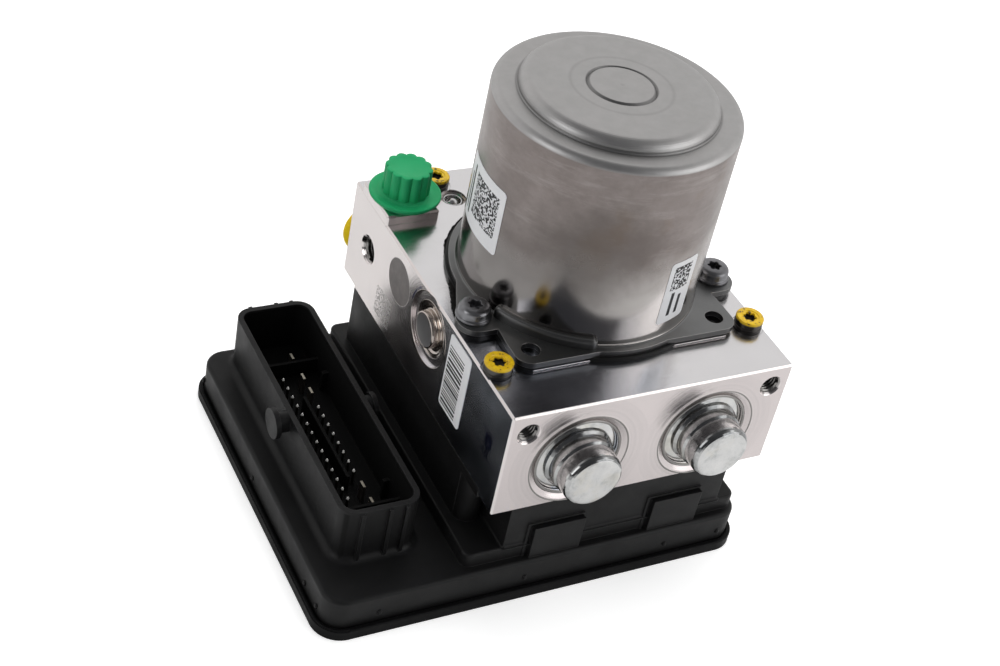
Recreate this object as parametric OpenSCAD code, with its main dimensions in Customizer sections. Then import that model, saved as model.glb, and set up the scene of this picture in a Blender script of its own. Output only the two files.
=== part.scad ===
// Brake pressure control module: valve block, pump motor and control unit.
// The motor axis is the vertical axis, the cover's underside is height zero,
// the accumulator face looks to -Y and the connector lies on the -X side.

/* [Valve block] */
// Width of the valve block from left to right
block_w = 95; // [94:0.5:100]
// Depth of the valve block from front to rear
block_d = 115.5; // [114:0.5:122]
// Height of the valve block
block_h = 38; // [38:0.5:42]
// Distance of the motor axis behind the front face
motor_setback = 54.6; // [54:0.2:57]
// Chamfer along the outer edges of the block
block_chamfer = 0.6; // [0.3:0.1:1]
// Height of the raised pads round the inlet ports
port_pad_h = 3.2; // [2:0.2:4]

/* [Control unit] */
// Reach of the cover to the left of the block
cover_left = 49; // [48.5:0.1:54]
// Reach of the cover beyond the block on the other sides
cover_margin = 1.7; // [1:0.1:2.5]
// Height of the cover with its rim
cover_h = 3.7; // [3.2:0.1:4.5]
// Thickness of the cover's plate
cover_plate_t = 2.2; // [1.8:0.1:2.6]
// Inset of the housing from the outside of the cover's rim
base_inset = 1.9; // [1.9:0.1:2.6]
// Height of the wide base above the cover's underside
base_top = 14; // [13.6:0.1:15]
// Height of the low step on the base
step_h = 5; // [4:0.5:6]
// Height of the upper box between the step and the block
upper_h = 19; // [18.5:0.5:22]
// Thickness of the moulded walls
wall = 2.5; // [2:0.1:2.8]

/* [Connector] */
// Width of the connector shroud over its walls
shroud_w = 25.9; // [25:0.1:28]
// Length of the connector shroud over its walls
shroud_l = 96; // [94:0.5:98]
// Height of the shroud's rim above the base
shroud_h = 19.5; // [18:0.5:22]
// Wall thickness of the shroud
shroud_wall = 1.8; // [1.5:0.1:2.2]
// Pitch of the small contact pins
pin_pitch = 4.25; // [4:0.05:4.3]
// Thickness of a contact pin
pin_d = 0.9; // [0.7:0.1:1.2]
// Radius of the lever pegs' heads
peg_head_r = 4.9; // [4.4:0.1:5.4]

/* [Motor] */
// Outer radius of the motor can
can_r = 37; // [36:0.1:38]
// Height of the motor can above the block
can_h = 69.1; // [67:0.1:74]
// Sheet thickness of the motor can
can_t = 1.8; // [1.5:0.1:2.1]
// Thickness of the mounting flange
flange_t = 1.8; // [1.4:0.1:2]
// Distance of the motor screws to the side of the axis
motor_screw_x = 41.5; // [41.3:0.1:41.6]
// Radius of the armature core
core_r = 23; // [21:0.5:24]
// Throw of the eccentric
throw = 0.8; // [0.5:0.1:1]
// Radius of the motor shaft
shaft_r = 4; // [3.6:0.1:4.4]

/* [Hydraulics] */
// Distance of each accumulator to the side of the axis
acc_x = 21.8; // [21.4:0.1:22.4]
// Radius of the accumulator bores
acc_r = 10; // [9.6:0.1:10.3]
// Travel of the accumulator pistons
acc_travel = 6; // [4:0.5:7]
// Reach of the accumulator caps in front of the block
cap_reach = 10.3; // [8:0.1:11]
// Spacing of the solenoid valves from left to right
valve_dx = 14.5; // [14:0.1:15]
// Spacing of the solenoid valves from front to rear
valve_dy = 13.5; // [13.3:0.1:13.8]
// Outer radius of a solenoid coil
coil_r = 6.3; // [5.8:0.1:6.5]
// Radius of the inlet plug's sealing flange
inlet_flange_r = 11.5; // [10.5:0.1:12]
// Radius of the wheel port plug's flange
wheel_flange_r = 10; // [9.5:0.1:11]

/* [Hidden] */
$fn = 64;
fit = 0.05;
run_gap = 0.3;

// Main planes and edges
block_z = base_top + step_h + upper_h;
top_z = block_z + block_h;
left_x = -block_w / 2;
right_x = block_w / 2;
front_y = -motor_setback;
rear_y = block_d - motor_setback;
edge_overlap = 0.01;

// Cover and base outlines: [left, right, front, rear]
cover_box = [left_x - cover_left, right_x + cover_margin, front_y - cover_margin - 0.4,
    rear_y + cover_margin - 0.5];
base_box = [for (i = [0:3]) cover_box[i] + (i % 2 == 0 ? 1 : -1) * base_inset];
step_box = [left_x - 3.4, right_x - 1.9, front_y + 2.8, rear_y - 2.2];
cover_r = 9;
base_r = 7;
step_r = 3;
rim_t = 1.3;
upper_front_y = front_y + 3;
upper_rear_y = rear_y - 10;
notch_x = 9.2;
boss_r = 4.2;
upper_right = right_x - 0.5;
lip_h = 2.3;
lip_t = 0.8;
lip_front = 9;
lip_gap = 0.2;

// Housing screws: [x, y]
screw_front = [block_w / 2 - 4.5, front_y + 20.1];
screw_rear = [23, rear_y - 6.8];
screw_spots = [[-screw_front[0], screw_front[1]], screw_front, [-screw_rear[0], screw_rear[1]], screw_rear];
screw_r = 2.2;
screw_bottom = base_top + 8;
rear_step_h = 3.2;

// Seal between housing and block
seal_in = 0.5;
seal_w = 0.8;
seal_h = 0.8;

// Connector shroud
shroud_box = [base_box[0] + 8.1, base_box[0] + 8.1 + shroud_w, base_box[3] - 3.7 - shroud_l,
    base_box[3] - 3.7];
shroud_r = 5.5;
shroud_top = base_top + shroud_h;
shroud_floor = base_top + 2;
shroud_mid = (shroud_box[0] + shroud_box[1]) / 2;
row_gap = 3.15;
pin_top = shroud_top - 11.5;
pins_left = 15;
pins_right = 8;
pin_first_y = (shroud_box[2] + shroud_box[3]) / 2 - 34.6;
blade_spots = [-34, -26.8, 17, 23.9, 34];
blade_w = 0.8;
blade_l = 2.8;
rib_xs = [6.1, 14.9, 20.1];
rib_w = 1.2;
rib_t = 1;
peg_y = (shroud_box[2] + shroud_box[3]) / 2 - 2;
peg_z = shroud_top - 3.5;
peg_r = 3.4;
peg_reach = 5;
inner_peg_reach = 3;
inner_peg_head_r = peg_head_r - 0.6;
peg_head_t = 1.6;

// Pads on the front wall of the upper box
pad_w = 17.4;
pad_x = 20.9;
pad_t = 1.9;
pad_top = base_top + 12.2;

// Circuit board
board_z = cover_plate_t + 3.8;
board_t = 1.6;
board_gap = 4.5;
board_box = [for (i = [0:3]) base_box[i] + (i % 2 == 0 ? 1 : -1) * (wall + 1.5)];
post_r = 2;
chip_x = shroud_box[1] + 3;

// Motor heights; low pads of the block carry the flange's front corners
base_plate_t = 1.4;
motor_pad_h = 0.5;
motor_pad = [14, 19, 8];
flange_z = top_z + base_plate_t;
flange_top = flange_z + flange_t;
can_top = top_z + can_h;
shoulder_z = can_top - 3.7;
shoulder_round = 2.3;
plateau_r = can_r - 7.4;
plateau_z = can_top - 0.2;
plateau_round = 3.2;
foot_round = 0.8;
// a formed bead hugs the foot of the can at the front left
bead_from = -157;
bead_angle = 48;
bead_t = 1.5;
bead_h = 3.2;
boss_top_r = 9.8;
can_in = can_r - can_t;
flange_r = can_r + 2.5;
ear_r = 5.9;
// the side screws stand far enough forward for their heads to clear the can
motor_screw_y = -sqrt(max(pow(can_r + 7, 2) - pow(motor_screw_x, 2), 200));
motor_screws_at = [[-motor_screw_x, motor_screw_y], [motor_screw_x, motor_screw_y], [0, flange_r + 4.4]];
ear_at = [motor_screw_x, motor_screw_y - 0.6];
foot_x = screw_front[0] - 11.4;
flange_front = -(can_r + 0.8);
lobe_r = 4.8;
lobe_at = [foot_x + 0.9, flange_front + lobe_r];
notch_r = 5.2;
flange_hole = [foot_x - 0.1, flange_front + 6];
flange_hole_r = 2.9;
motor_screw_r = 2.4;
motor_screw_l = 14;

// Pump: axis height and the cavity of the eccentric
pump_z = top_z - 12;
cavity_r = 14;
cavity_depth = 21;
pump_bore_r = 5;
pump_plug_r = 9.7;
pump_groove_r = 11.8;
ecc_r = 6;
ecc_ring_r = 9;
ecc_ring_h = 9;
pump_piston_r = 3;
pump_piston_l = 18;
pump_piston_x = ecc_ring_r + throw + 0.1;
pump_plug_l = 9;

// Motor inner parts
lower_bearing_z = top_z + 0.5;
lower_bearing_r = 9;
upper_bearing_r = 7;
bearing_h = 6;
core_z = top_z + 24;
core_h = 26;
magnet_t = 7;
commutator_r = 9;

// Accumulators
acc_z = block_z + 16.4;
acc_piston_l = 9;
acc_spring_room = 21;
acc_depth = acc_piston_l + acc_travel + acc_spring_room;
cap_seat_r = 16.2;
cap_seat_depth = 1.3;
cap_groove_r = 13.4;
cap_groove_depth = 3;
cap_r = 9.4;
cap_wall = 1.2;
cap_round = 2.2;
spring_wire_r = 0.8;
spring_r = 6.6;

// Valves
valve_cols = [-1.5, -0.5, 0.5, 1.5];
valve_rows = [0, 1, 2];
coil_room = 1.1;
valve_y = upper_rear_y - wall - coil_r - coil_room - 2 * valve_dy;
valve_bore_r = 4.5;
valve_bore_l = 15;
dome_r = 3.2;
dome_bottom = base_top + 4.5;
coil_bottom = dome_bottom + 1.3;
coil_top = block_z - 1.8;

// Ports
inlet_spot = [block_w / 2 - 9.3, rear_y - 15.7];
inlet_r = 5.5;
port_pad = [26, 19.5];
wheel_z = block_z + 16.2;
wheel_pitch = (block_w - 18.4) / 3;
wheel_r = 4.6;
port_depth = 8.5;
plug_gap = 0.05;

// Threaded holes and the pressed seals
front_hole = [block_w / 2 - 6.3, block_z + 30.8];
front_hole_r = 3;
front_hole_l = 12;
side_hole = [rear_y - 15, block_z + 21.6];
side_hole_r = 4;
side_hole_l = 12;
damper_spot = [22.3, block_z + 26.8];
damper_r = 7.6;
damper_l = 12;
damper_plug_t = 3;
ball_spot = [20.2, rear_y - 14.9];
ball_r = 2.5;
ball_seat_r = 4.3;
ball_seat_depth = 1.6;
terminal_y = -31;
terminal_bore_r = 4;

// Flat shapes

// Rectangle given by its sides, with round corners
module round_box(b, r) {
    translate([b[0] + r, b[2]]) square([b[1] - b[0] - 2 * r, b[3] - b[2]]);
    translate([b[0], b[2] + r]) square([b[1] - b[0], b[3] - b[2] - 2 * r]);
    for (x = [b[0] + r, b[1] - r])
        for (y = [b[2] + r, b[3] - r])
            translate([x, y]) circle(r);
}

function inset(b, g) = [b[0] + g, b[1] - g, b[2] + g, b[3] - g];

// Slab with round corners and a rounded top edge of radius e
module soft_slab(b, r, z0, z1, e) {
    translate([0, 0, z0]) linear_extrude(z1 - z0 - e) round_box(b, r);
    translate([0, 0, z0]) linear_extrude(z1 - z0) round_box(inset(b, e), r - e);
    for (y = [b[2] + e, b[3] - e])
        translate([b[0] + r, y, z1 - e]) rotate([0, 90, 0]) cylinder(r = e, h = b[1] - b[0] - 2 * r,
            $fn = 32);
    for (x = [b[0] + e, b[1] - e])
        translate([x, b[2] + r, z1 - e]) rotate([-90, 0, 0])
            cylinder(r = e, h = b[3] - b[2] - 2 * r, $fn = 32);
    for (x = [b[0] + r, b[1] - r])
        for (y = [b[2] + r, b[3] - r])
            translate([x, y, z1 - e]) rotate_extrude() translate([r - e, 0]) circle(e, $fn = 32);
}

// Concave foot that runs round a box standing on a floor at height z0
module foot_fillet(b, r, z0, f) {
    for (s = [0, 1]) {
        y = s == 0 ? b[2] : b[3];
        translate([b[0] + r, y, z0]) rotate([90, 0, 90]) linear_extrude(b[1] - b[0] - 2 * r)
            mirror([1 - s, 0]) fillet_shape(f);
        x = s == 0 ? b[0] : b[1];
        translate([x, b[3] - r, z0]) rotate([90, 0, 0]) linear_extrude(b[3] - b[2] - 2 * r)
            mirror([1 - s, 0]) fillet_shape(f);
    }
    for (c = [[b[0] + r, b[2] + r, 180], [b[1] - r, b[2] + r, 270], [b[1] - r, b[3] - r, 0],
        [b[0] + r, b[3] - r, 90]])
        translate([c[0], c[1], z0]) rotate([0, 0, c[2]]) rotate_extrude(angle = 90)
            translate([r, 0]) fillet_shape(f);
}

// Corner left between a wall, a floor and a round tool
module fillet_shape(f) {
    difference() {
        translate([-0.3, -0.3]) square([f + 0.3, f + 0.3]);
        translate([f, f]) circle(f, $fn = 48);
    }
}

// Box with chamfered edges all round
module chamfered_box(x0, x1, y0, y1, z0, z1, c) {
    intersection() {
        translate([0, 0, z0]) linear_extrude(z1 - z0) cut_rect(x0, x1, y0, y1, c);
        translate([x0, 0, 0]) rotate([90, 0, 90]) linear_extrude(x1 - x0) cut_rect(y0, y1, z0, z1, c);
        translate([0, y1, 0]) rotate([90, 0, 0]) linear_extrude(y1 - y0) cut_rect(x0, x1, z0, z1, c);
    }
}

module cut_rect(a0, a1, b0, b1, c) {
    polygon([[a0 + c, b0], [a1 - c, b0], [a1, b0 + c], [a1, b1 - c],
             [a1 - c, b1], [a0 + c, b1], [a0, b1 - c], [a0, b0 + c]]);
}

// Six-lobed key recess
module key_shape(r) {
    circle(r * 0.72);
    for (a = [0:60:300])
        rotate(a) translate([r * 0.72, 0]) circle(r * 0.28, $fn = 24);
}

// Bore with a countersink at its mouth, along +Z from the mouth
module bore(r, l, sink) {
    translate([0, 0, -edge_overlap]) cylinder(r = r, h = l + edge_overlap);
    translate([0, 0, -edge_overlap]) cylinder(r1 = r + sink, r2 = r, h = sink + edge_overlap);
}

// Places on the faces of the block, with +Z pointing into the metal
module into_front(x, z) { translate([x, front_y, z]) rotate([-90, 0, 0]) children(); }
module into_rear(x, z) { translate([x, rear_y, z]) rotate([90, 0, 0]) children(); }
module into_side(side, y, z) { translate([side * block_w / 2, y, z]) rotate([0, -side * 90,
    0]) children(); }
module into_top(x, y, z) { translate([x, y, z]) rotate([180, 0, 0]) children(); }

// Control unit

// Plan of the upper box
module upper_plan() {
    translate([left_x + notch_x, upper_front_y])
        square([block_w - 2 * notch_x, upper_rear_y - upper_front_y]);
    translate([left_x, screw_front[1]])
        square([upper_right - left_x, upper_rear_y - screw_front[1]]);
    for (s = [-1, 1])
        translate([s * screw_front[0], screw_front[1]]) circle(boss_r);
}

module rear_column_plan() {
    translate([0, screw_rear[1]]) circle(boss_r);
    translate([-boss_r, upper_rear_y - 1]) square([2 * boss_r, screw_rear[1] - upper_rear_y + 1]);
}

// Room inside the upper box with g more on every side; the screw columns stay solid
module upper_room(g) {
    w = wall - g;
    translate([left_x + notch_x + w, upper_front_y + w])
        square([block_w - 2 * notch_x - 2 * w, upper_rear_y - upper_front_y - 2 * w]);
    translate([left_x + w, screw_front[1] + boss_r - g])
        square([upper_right - left_x - 2 * w, upper_rear_y - screw_front[1] - boss_r + g - w]);
}

module ecu_cover() {
    color("#1b1b1d")
    difference() {
        soft_slab(cover_box, cover_r, 0, cover_h, 0.5);
        translate([0, 0, cover_plate_t]) linear_extrude(cover_h)
            round_box(inset(cover_box, rim_t), cover_r - rim_t);
    }
}

module shroud_body() {
    translate([0, 0, base_top - wall]) linear_extrude(shroud_h + wall) round_box(shroud_box, shroud_r);
    foot_fillet(shroud_box, shroud_r, base_top, 2.4);
    for (x = rib_xs)
        translate([shroud_box[0] + x - rib_w / 2, shroud_box[2] - rib_t, base_top - 0.5])
            cube([rib_w, shroud_l + 2 * rib_t, shroud_h + 0.1]);
}

module lever_peg(side) {
    x = side < 0 ? shroud_box[0] : shroud_box[1];
    reach = (side < 0 ? peg_reach : inner_peg_reach) + 0.5;
    head = side < 0 ? peg_head_r : inner_peg_head_r;
    translate([x - side * 0.5, peg_y, peg_z]) rotate([0, side * 90, 0]) {
        cylinder(r = peg_r, h = reach);
        translate([0, 0, reach - peg_head_t]) cylinder(r = head, h = peg_head_t);
    }
}

// Ribs and small partitions between the rows of contacts
module shroud_inside() {
    mid_y = (shroud_box[2] + shroud_box[3]) / 2;
    for (y = [[-36.6, 1.4], [31.2, 0]])
        translate([shroud_box[0] + shroud_wall - 0.2, mid_y + y[0], shroud_floor - 0.5])
            cube([shroud_w - 2 * shroud_wall + 0.4, 1, pin_top - shroud_floor + 0.5 + y[1]]);
    translate([shroud_mid - 0.2, mid_y - 22.3, shroud_floor - 0.5])
        cube([1, 37.4, pin_top - shroud_floor + 0.5]);
    translate([shroud_mid - 6.5, mid_y + 31.2, shroud_floor - 0.5]) cube([1, 10, pin_top - shroud_floor]);
    for (y = [-28.6, 22.2])
        translate([shroud_box[1] - shroud_wall - 2, mid_y + y, shroud_floor - 0.5])
            cube([2.2, 1.4, pin_top - shroud_floor + 2]);
}

module front_pad(side) {
    x = side * pad_x + 0.2;
    translate([x - pad_w / 2, upper_front_y - pad_t, base_top - 0.5])
        cube([pad_w, pad_t + 0.5, pad_top - base_top + 0.5]);
    translate([x - pad_w / 2 - 1.9, upper_front_y - 0.6, base_top - 0.5])
        cube([0.8, 1, pad_top - base_top + 1.6]);
    translate([x - pad_w / 2 - 1.9, upper_front_y - 0.6, pad_top + 0.6])
        cube([pad_w + 2, 1, 0.6]);
}

// Openings for the contacts through the shroud's floor or the board
module contact_holes(z0, z1, gap) {
    for (p = pin_spots())
        translate([p[0], p[1], z0]) cylinder(r = pin_d / 2 + gap, h = z1 - z0, $fn = 16);
    for (p = blade_places())
        translate([p[0] - blade_w / 2 - gap, p[1] - blade_l / 2 - gap, z0])
            cube([blade_w + 2 * gap, blade_l + 2 * gap, z1 - z0]);
}

function pin_spots() = concat(
    [for (i = [0:pins_left - 1]) [shroud_mid - row_gap, pin_first_y + i * pin_pitch]],
    [for (i = [0:pins_right - 1]) [shroud_mid + row_gap, pin_first_y + (i + 3.5) * pin_pitch]]);

function blade_places() = [for (y = blade_spots) [shroud_mid + row_gap,
    (shroud_box[2] + shroud_box[3]) / 2 + y]];

module ecu_housing() {
    color("#17171a")
    difference() {
        union() {
            soft_slab(base_box, base_r, cover_plate_t, base_top, 1.2);
            soft_slab(step_box, step_r, base_top - 1, base_top + step_h, 0.8);
            translate([0, 0, base_top - 1.2]) linear_extrude(block_z - base_top + 1.2) upper_plan();
            foot_fillet([left_x + notch_x, right_x - notch_x, upper_front_y, upper_rear_y], 0.5,
                base_top + step_h, 0.9);
            for (s = [-1, 1])
                translate([s * screw_rear[0], 0, 0]) {
                    translate([0, 0, base_top]) linear_extrude(block_z - base_top) rear_column_plan();
                    // behind the block's step the column goes on up to its underside
                    translate([0, 0, block_z - 1]) linear_extrude(rear_step_h + 1) intersection() {
                        rear_column_plan();
                        translate([-boss_r - 1, upper_rear_y + 2 * lip_gap]) square([2 * boss_r + 2, 20]);
                    }
                }
            translate([left_x, front_y + lip_front, block_z - 1])
                cube([lip_t, upper_rear_y - front_y - lip_front, lip_h + 1]);
            shroud_body();
            lever_peg(-1);
            lever_peg(1);
            front_pad(-1);
            front_pad(1);
        }
        // room for the board below, open to the coils above
        translate([0, 0, cover_plate_t - 1]) linear_extrude(base_top - wall - cover_plate_t + 1)
            round_box(inset(base_box, wall), base_r - wall);
        translate([0, 0, base_top - wall - 1]) linear_extrude(block_z) upper_room(0);
        // the seal's groove
        translate([0, 0, block_z - seal_h]) linear_extrude(seal_h + 5) seal_plan(fit);
        // inside of the shroud
        translate([0, 0, shroud_floor]) linear_extrude(shroud_h)
            round_box(inset(shroud_box, shroud_wall), shroud_r - shroud_wall);
        contact_holes(base_top - wall - 1, shroud_floor + 1, 0.02);
        for (p = screw_spots)
            translate([p[0], p[1], screw_bottom - 1]) cylinder(r = screw_r + fit, h = block_h);
    }
    color("#17171a") {
        difference() {
            shroud_inside();
            contact_holes(base_top - wall - 1, shroud_top, 0.02);
        }
        board_posts();
    }
}

// Posts that hold the board from above
module board_posts() {
    for (x = [board_box[0] + 4, shroud_box[1] + 8.6, board_box[1] - 4])
        for (y = [board_box[2] + 4, board_box[3] - 4])
            translate([x, y, board_z + board_t]) cylinder(r = post_r,
                h = base_top - wall - board_z - board_t + 0.5);
}

module seal_plan(gap) {
    difference() {
        upper_room(seal_in + seal_w + gap);
        upper_room(seal_in - gap);
    }
}

module housing_seal() {
    color("#5a3326")
    translate([0, 0, block_z - seal_h]) linear_extrude(seal_h) seal_plan(0);
}

module connector_pins() {
    color("#c9a227")
    for (p = pin_spots())
        translate([p[0], p[1], board_z - 1]) {
            cylinder(r = pin_d / 2, h = pin_top - board_z + 0.4, $fn = 16);
            translate([0, 0, pin_top - board_z + 0.4]) cylinder(r1 = pin_d / 2, r2 = pin_d / 5, h = 0.6,
                $fn = 16);
        }
}

module connector_blades() {
    color("#c4c2bc")
    for (p = blade_places())
        translate([p[0] - blade_w / 2, p[1] - blade_l / 2, board_z - 1])
            cube([blade_w, blade_l, pin_top - board_z + 1.5]);
}

module circuit_board() {
    color("#1d5b36")
    difference() {
        translate([0, 0, board_z]) linear_extrude(board_t) round_box(board_box, 3);
        contact_holes(board_z - 1, board_z + board_t + 1, 0.02);
        for (p = valve_places())
            for (s = [-1, 1])
                translate([p[0] + s * 2.5, p[1], board_z - 1])
                    cylinder(r = 0.5 + 0.02, h = board_t + 2, $fn = 16);
        for (s = [-1, 1])
            translate([s * 1.6 - 1.2 - 0.02, terminal_y - 0.4 - 0.02, board_z - 1])
                cube([2.44, 0.84, board_t + 2]);
    }
}

// Processor, driver and the larger parts on the board
module board_chips() {
    color("#26262a")
    for (c = [[chip_x, 60, 12, 12, 2], [chip_x + 1, 36, 10, 8, 2], [chip_x, 82, 12, 10, 2.4],
        [chip_x + 2, 10, 9, 9, 2.2],
              [board_box[1] - 16, 30, 10, 10, 2]])
        translate([c[0], board_box[2] + c[1], board_z - c[4]]) cube([c[2], c[3], c[4]]);
}

function valve_places() = [for (r = valve_rows) for (c = valve_cols) [c * valve_dx,
    valve_y + r * valve_dy]];

module solenoid_coils() {
    color("#3a3a3e")
    for (p = valve_places())
        translate([p[0], p[1], 0]) {
            difference() {
                translate([0, 0, coil_bottom]) cylinder(r = coil_r, h = coil_top - coil_bottom);
                translate([0, 0, coil_bottom - 1]) cylinder(r = dome_r + fit, h = coil_top);
            }
            for (s = [-1, 1])
                translate([s * (dome_r + 1.2), 0, coil_bottom - 1.5]) cylinder(r = 0.8, h = 2.5, $fn = 16);
            for (s = [-1, 1]) {
                translate([s * 2.5, 0, board_z - 0.8]) cylinder(r = 0.5,
                    h = coil_bottom - board_z - 0.4, $fn = 16);
                translate([s * 2.5 - (s > 0 ? 0.5 : 2.3), -0.5, coil_bottom - 1.5]) cube([2.8, 1, 0.6]);
            }
        }
}

module valve_cartridges() {
    color("#b9b7b0")
    for (p = valve_places())
        translate([p[0], p[1], 0]) rotate_extrude()
            polygon([[0, dome_bottom], [dome_r - 0.8, dome_bottom], [dome_r, dome_bottom + 0.8],
                     [dome_r, block_z - 1.4], [valve_bore_r + 0.9, block_z - 1.4],
                         [valve_bore_r + 0.9, block_z],
                     [valve_bore_r - fit, block_z], [valve_bore_r - fit, block_z + 7],
                         [valve_bore_r - 0.8, block_z + 7.4],
                     [valve_bore_r - 0.8, block_z + 11], [valve_bore_r - 1.4, block_z + 12],
                     [valve_bore_r - 1.4, block_z + valve_bore_l - 1], [0, block_z + valve_bore_l - 1]]);
}

// Valve block

module port_pad_solid(side) {
    x0 = side < 0 ? left_x : right_x - port_pad[0] + 8;
    translate([0, 0, top_z - 1])
        chamfered_box(x0, x0 + port_pad[0] - 8, rear_y - 5 - port_pad[1], rear_y - 5, 0, port_pad_h + 1,
            block_chamfer);
}

// Low pads under the front corners of the flange, g larger on every side
module motor_pads(g, z0, z1) {
    for (s = [-1, 1])
        translate([s * (motor_pad[0] + motor_pad[1] / 2) - motor_pad[1] / 2 - g, flange_front - g, z0])
            cube([motor_pad[1] + 2 * g, motor_pad[2] + 2 * g, z1 - z0]);
}

module valve_block() {
    color("#cfcdca")
    difference() {
        union() {
            chamfered_box(left_x, right_x, front_y, rear_y, block_z, top_z, block_chamfer);
            port_pad_solid(-1);
            port_pad_solid(1);
            motor_pads(0, top_z - 1, top_z + motor_pad_h);
        }
        // rebate over the housing's lip and the step at the rear
        translate([left_x - 1, front_y + lip_front - lip_gap, block_z - 1])
            cube([lip_t + 1 + lip_gap, block_d, lip_h + 1 + lip_gap]);
        translate([left_x - 1, upper_rear_y + lip_gap, block_z - 1])
            cube([block_w + 2, block_d, rear_step_h + 1]);
        // motor cavity and the pump bores
        into_top(0, 0, top_z) cylinder(r = cavity_r, h = cavity_depth);
        into_top(0, 0, top_z + 1) cylinder(r = lower_bearing_r + 8, h = 3);
        for (s = [-1, 1])
            into_side(s, 0, pump_z) {
                cylinder(r = pump_bore_r, h = block_w / 2);
                translate([0, 0, -1]) cylinder(r = pump_plug_r - 0.6 + fit, h = pump_plug_l + 1);
                ring_cut(pump_plug_r - 1.5, pump_groove_r, 0.8);
            }
        // accumulators
        for (s = [-1, 1])
            into_front(s * acc_x, acc_z) {
                cylinder(r = acc_r, h = acc_depth);
                translate([0, 0, -1]) cylinder(r = cap_groove_r, h = cap_groove_depth + 1);
                translate([0, 0, -edge_overlap]) cylinder(r1 = cap_seat_r, r2 = cap_groove_r,
                    h = cap_seat_depth);
            }
        // solenoid valves
        for (p = valve_places())
            translate([p[0], p[1], block_z - 1]) cylinder(r = valve_bore_r, h = valve_bore_l + 1);
        // ports
        for (s = [-1, 1])
            into_top(s * inlet_spot[0], inlet_spot[1], top_z + port_pad_h)
                bore(inlet_r, port_depth + 4, 0.6);
        for (i = [0:3])
            into_rear(wheel_x(i), wheel_z) bore(wheel_r, port_depth, 0.6);
        // housing screws, motor screws, terminals
        for (p = screw_spots) {
            translate([p[0], p[1], block_z - 1]) cylinder(r = screw_r + fit, h = block_h + 2);
            translate([p[0], p[1], top_z - 0.3]) cylinder(r = 5, h = 1);
        }
        for (p = motor_screws_at)
            into_top(p[0], p[1], top_z) cylinder(r = motor_screw_r + fit, h = motor_screw_l + 1);
        translate([0, terminal_y, block_z - 1]) cylinder(r = terminal_bore_r, h = block_h + 2);
        // threaded holes, damper and ball seals
        for (s = [-1, 1])
            into_front(s * front_hole[0], front_hole[1]) bore(front_hole_r, front_hole_l, 0.8);
        into_side(-1, side_hole[0], side_hole[1]) bore(side_hole_r, side_hole_l, 1);
        into_side(-1, damper_spot[0], damper_spot[1]) cylinder(r = damper_r, h = damper_l);
        for (s = [-1, 1])
            into_top(s * ball_spot[0], ball_spot[1], top_z) {
                cylinder(r = ball_r, h = 20);
                translate([0, 0, -1]) cylinder(r = ball_seat_r, h = ball_seat_depth + 1);
            }
    }
}

// Ring-shaped cut r0 to r1, d deep, at the mouth of a bore
module ring_cut(r0, r1, d) {
    difference() {
        translate([0, 0, -1]) cylinder(r = r1, h = d + 1);
        translate([0, 0, -2]) cylinder(r = r0, h = d + 4);
    }
}

function wheel_x(i) = left_x + 9.2 + i * wheel_pitch;

module housing_screws() {
    color("#d9b321")
    for (p = screw_spots)
        translate([p[0], p[1], 0]) {
            translate([0, 0, screw_bottom]) cylinder(r = screw_r, h = top_z - 0.3 - screw_bottom);
            difference() {
                translate([0, 0, top_z - 0.3]) rotate_extrude()
                    polygon([[0, 0], [4.2, 0], [4.4, 0.2], [4.4, 0.8], [4, 1], [4, 1.4], [4.3, 1.6],
                        [4.3, 3.7], [3.9, 4.1], [0, 4.1]]);
                translate([0, 0, top_z + 1.7]) linear_extrude(5) key_shape(2.3);
            }
        }
}

// Motor

// Plan of the mounting flange with its ears and front corners, drawn in by g
module flange_plan(g) {
    difference() {
        union() {
            circle(flange_r - g);
            for (p = motor_screws_at)
                translate([p[0], p[1] - 0.6]) circle(ear_r - g);
            for (s = [-1, 1]) {
                // web between the can and the ear
                polygon([[s * 20, ear_at[1] - ear_r + g], [s * ear_at[0], ear_at[1] - ear_r + g],
                         [s * (ear_at[0] + ear_r - g), ear_at[1]], [s * (ear_at[0] + 1.6), ear_at[1] + 9.8],
                         [s * (flange_r - 0.6), 4], [s * 20, 6]]);
                // front corner
                translate([s * lobe_at[0], lobe_at[1]]) circle(lobe_r - g);
                polygon([[s * 4, flange_front + g], [s * lobe_at[0], flange_front + g],
                         [s * (lobe_at[0] + lobe_r - g), lobe_at[1]],
                             [s * (lobe_at[0] + lobe_r - g), lobe_at[1] + 5],
                         [s * (lobe_at[0] + lobe_r - 0.5), lobe_at[1] + 13], [s * 20, -14]]);
            }
            // rear ear
            polygon([[-ear_r - 3, flange_r - 3], [-ear_r + g, flange_r + 4.4],
                [ear_r - g, flange_r + 4.4], [ear_r + 3, flange_r - 3]]);
        }
        for (s = [-1, 1])
            translate([s * notch_at[0], notch_at[1]]) circle(notch_r + g);
    }
}

// Where a circle of radius ra about a meets one of radius rb about b
function meet(a, ra, b, rb) =
    let (d = norm(b - a), u = (b - a) / d, t = (ra * ra - rb * rb + d * d) / (2 * d),
        h = sqrt(max(ra * ra - t * t, 0)))
    [a[0] + t * u[0] - h * u[1], a[1] + t * u[1] + h * u[0]];

// The notch keeps its distance from the ear and from the front corner
notch_at = meet(ear_at, ear_r + notch_r + 0.93, lobe_at, lobe_r + notch_r + 2.28);

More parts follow.
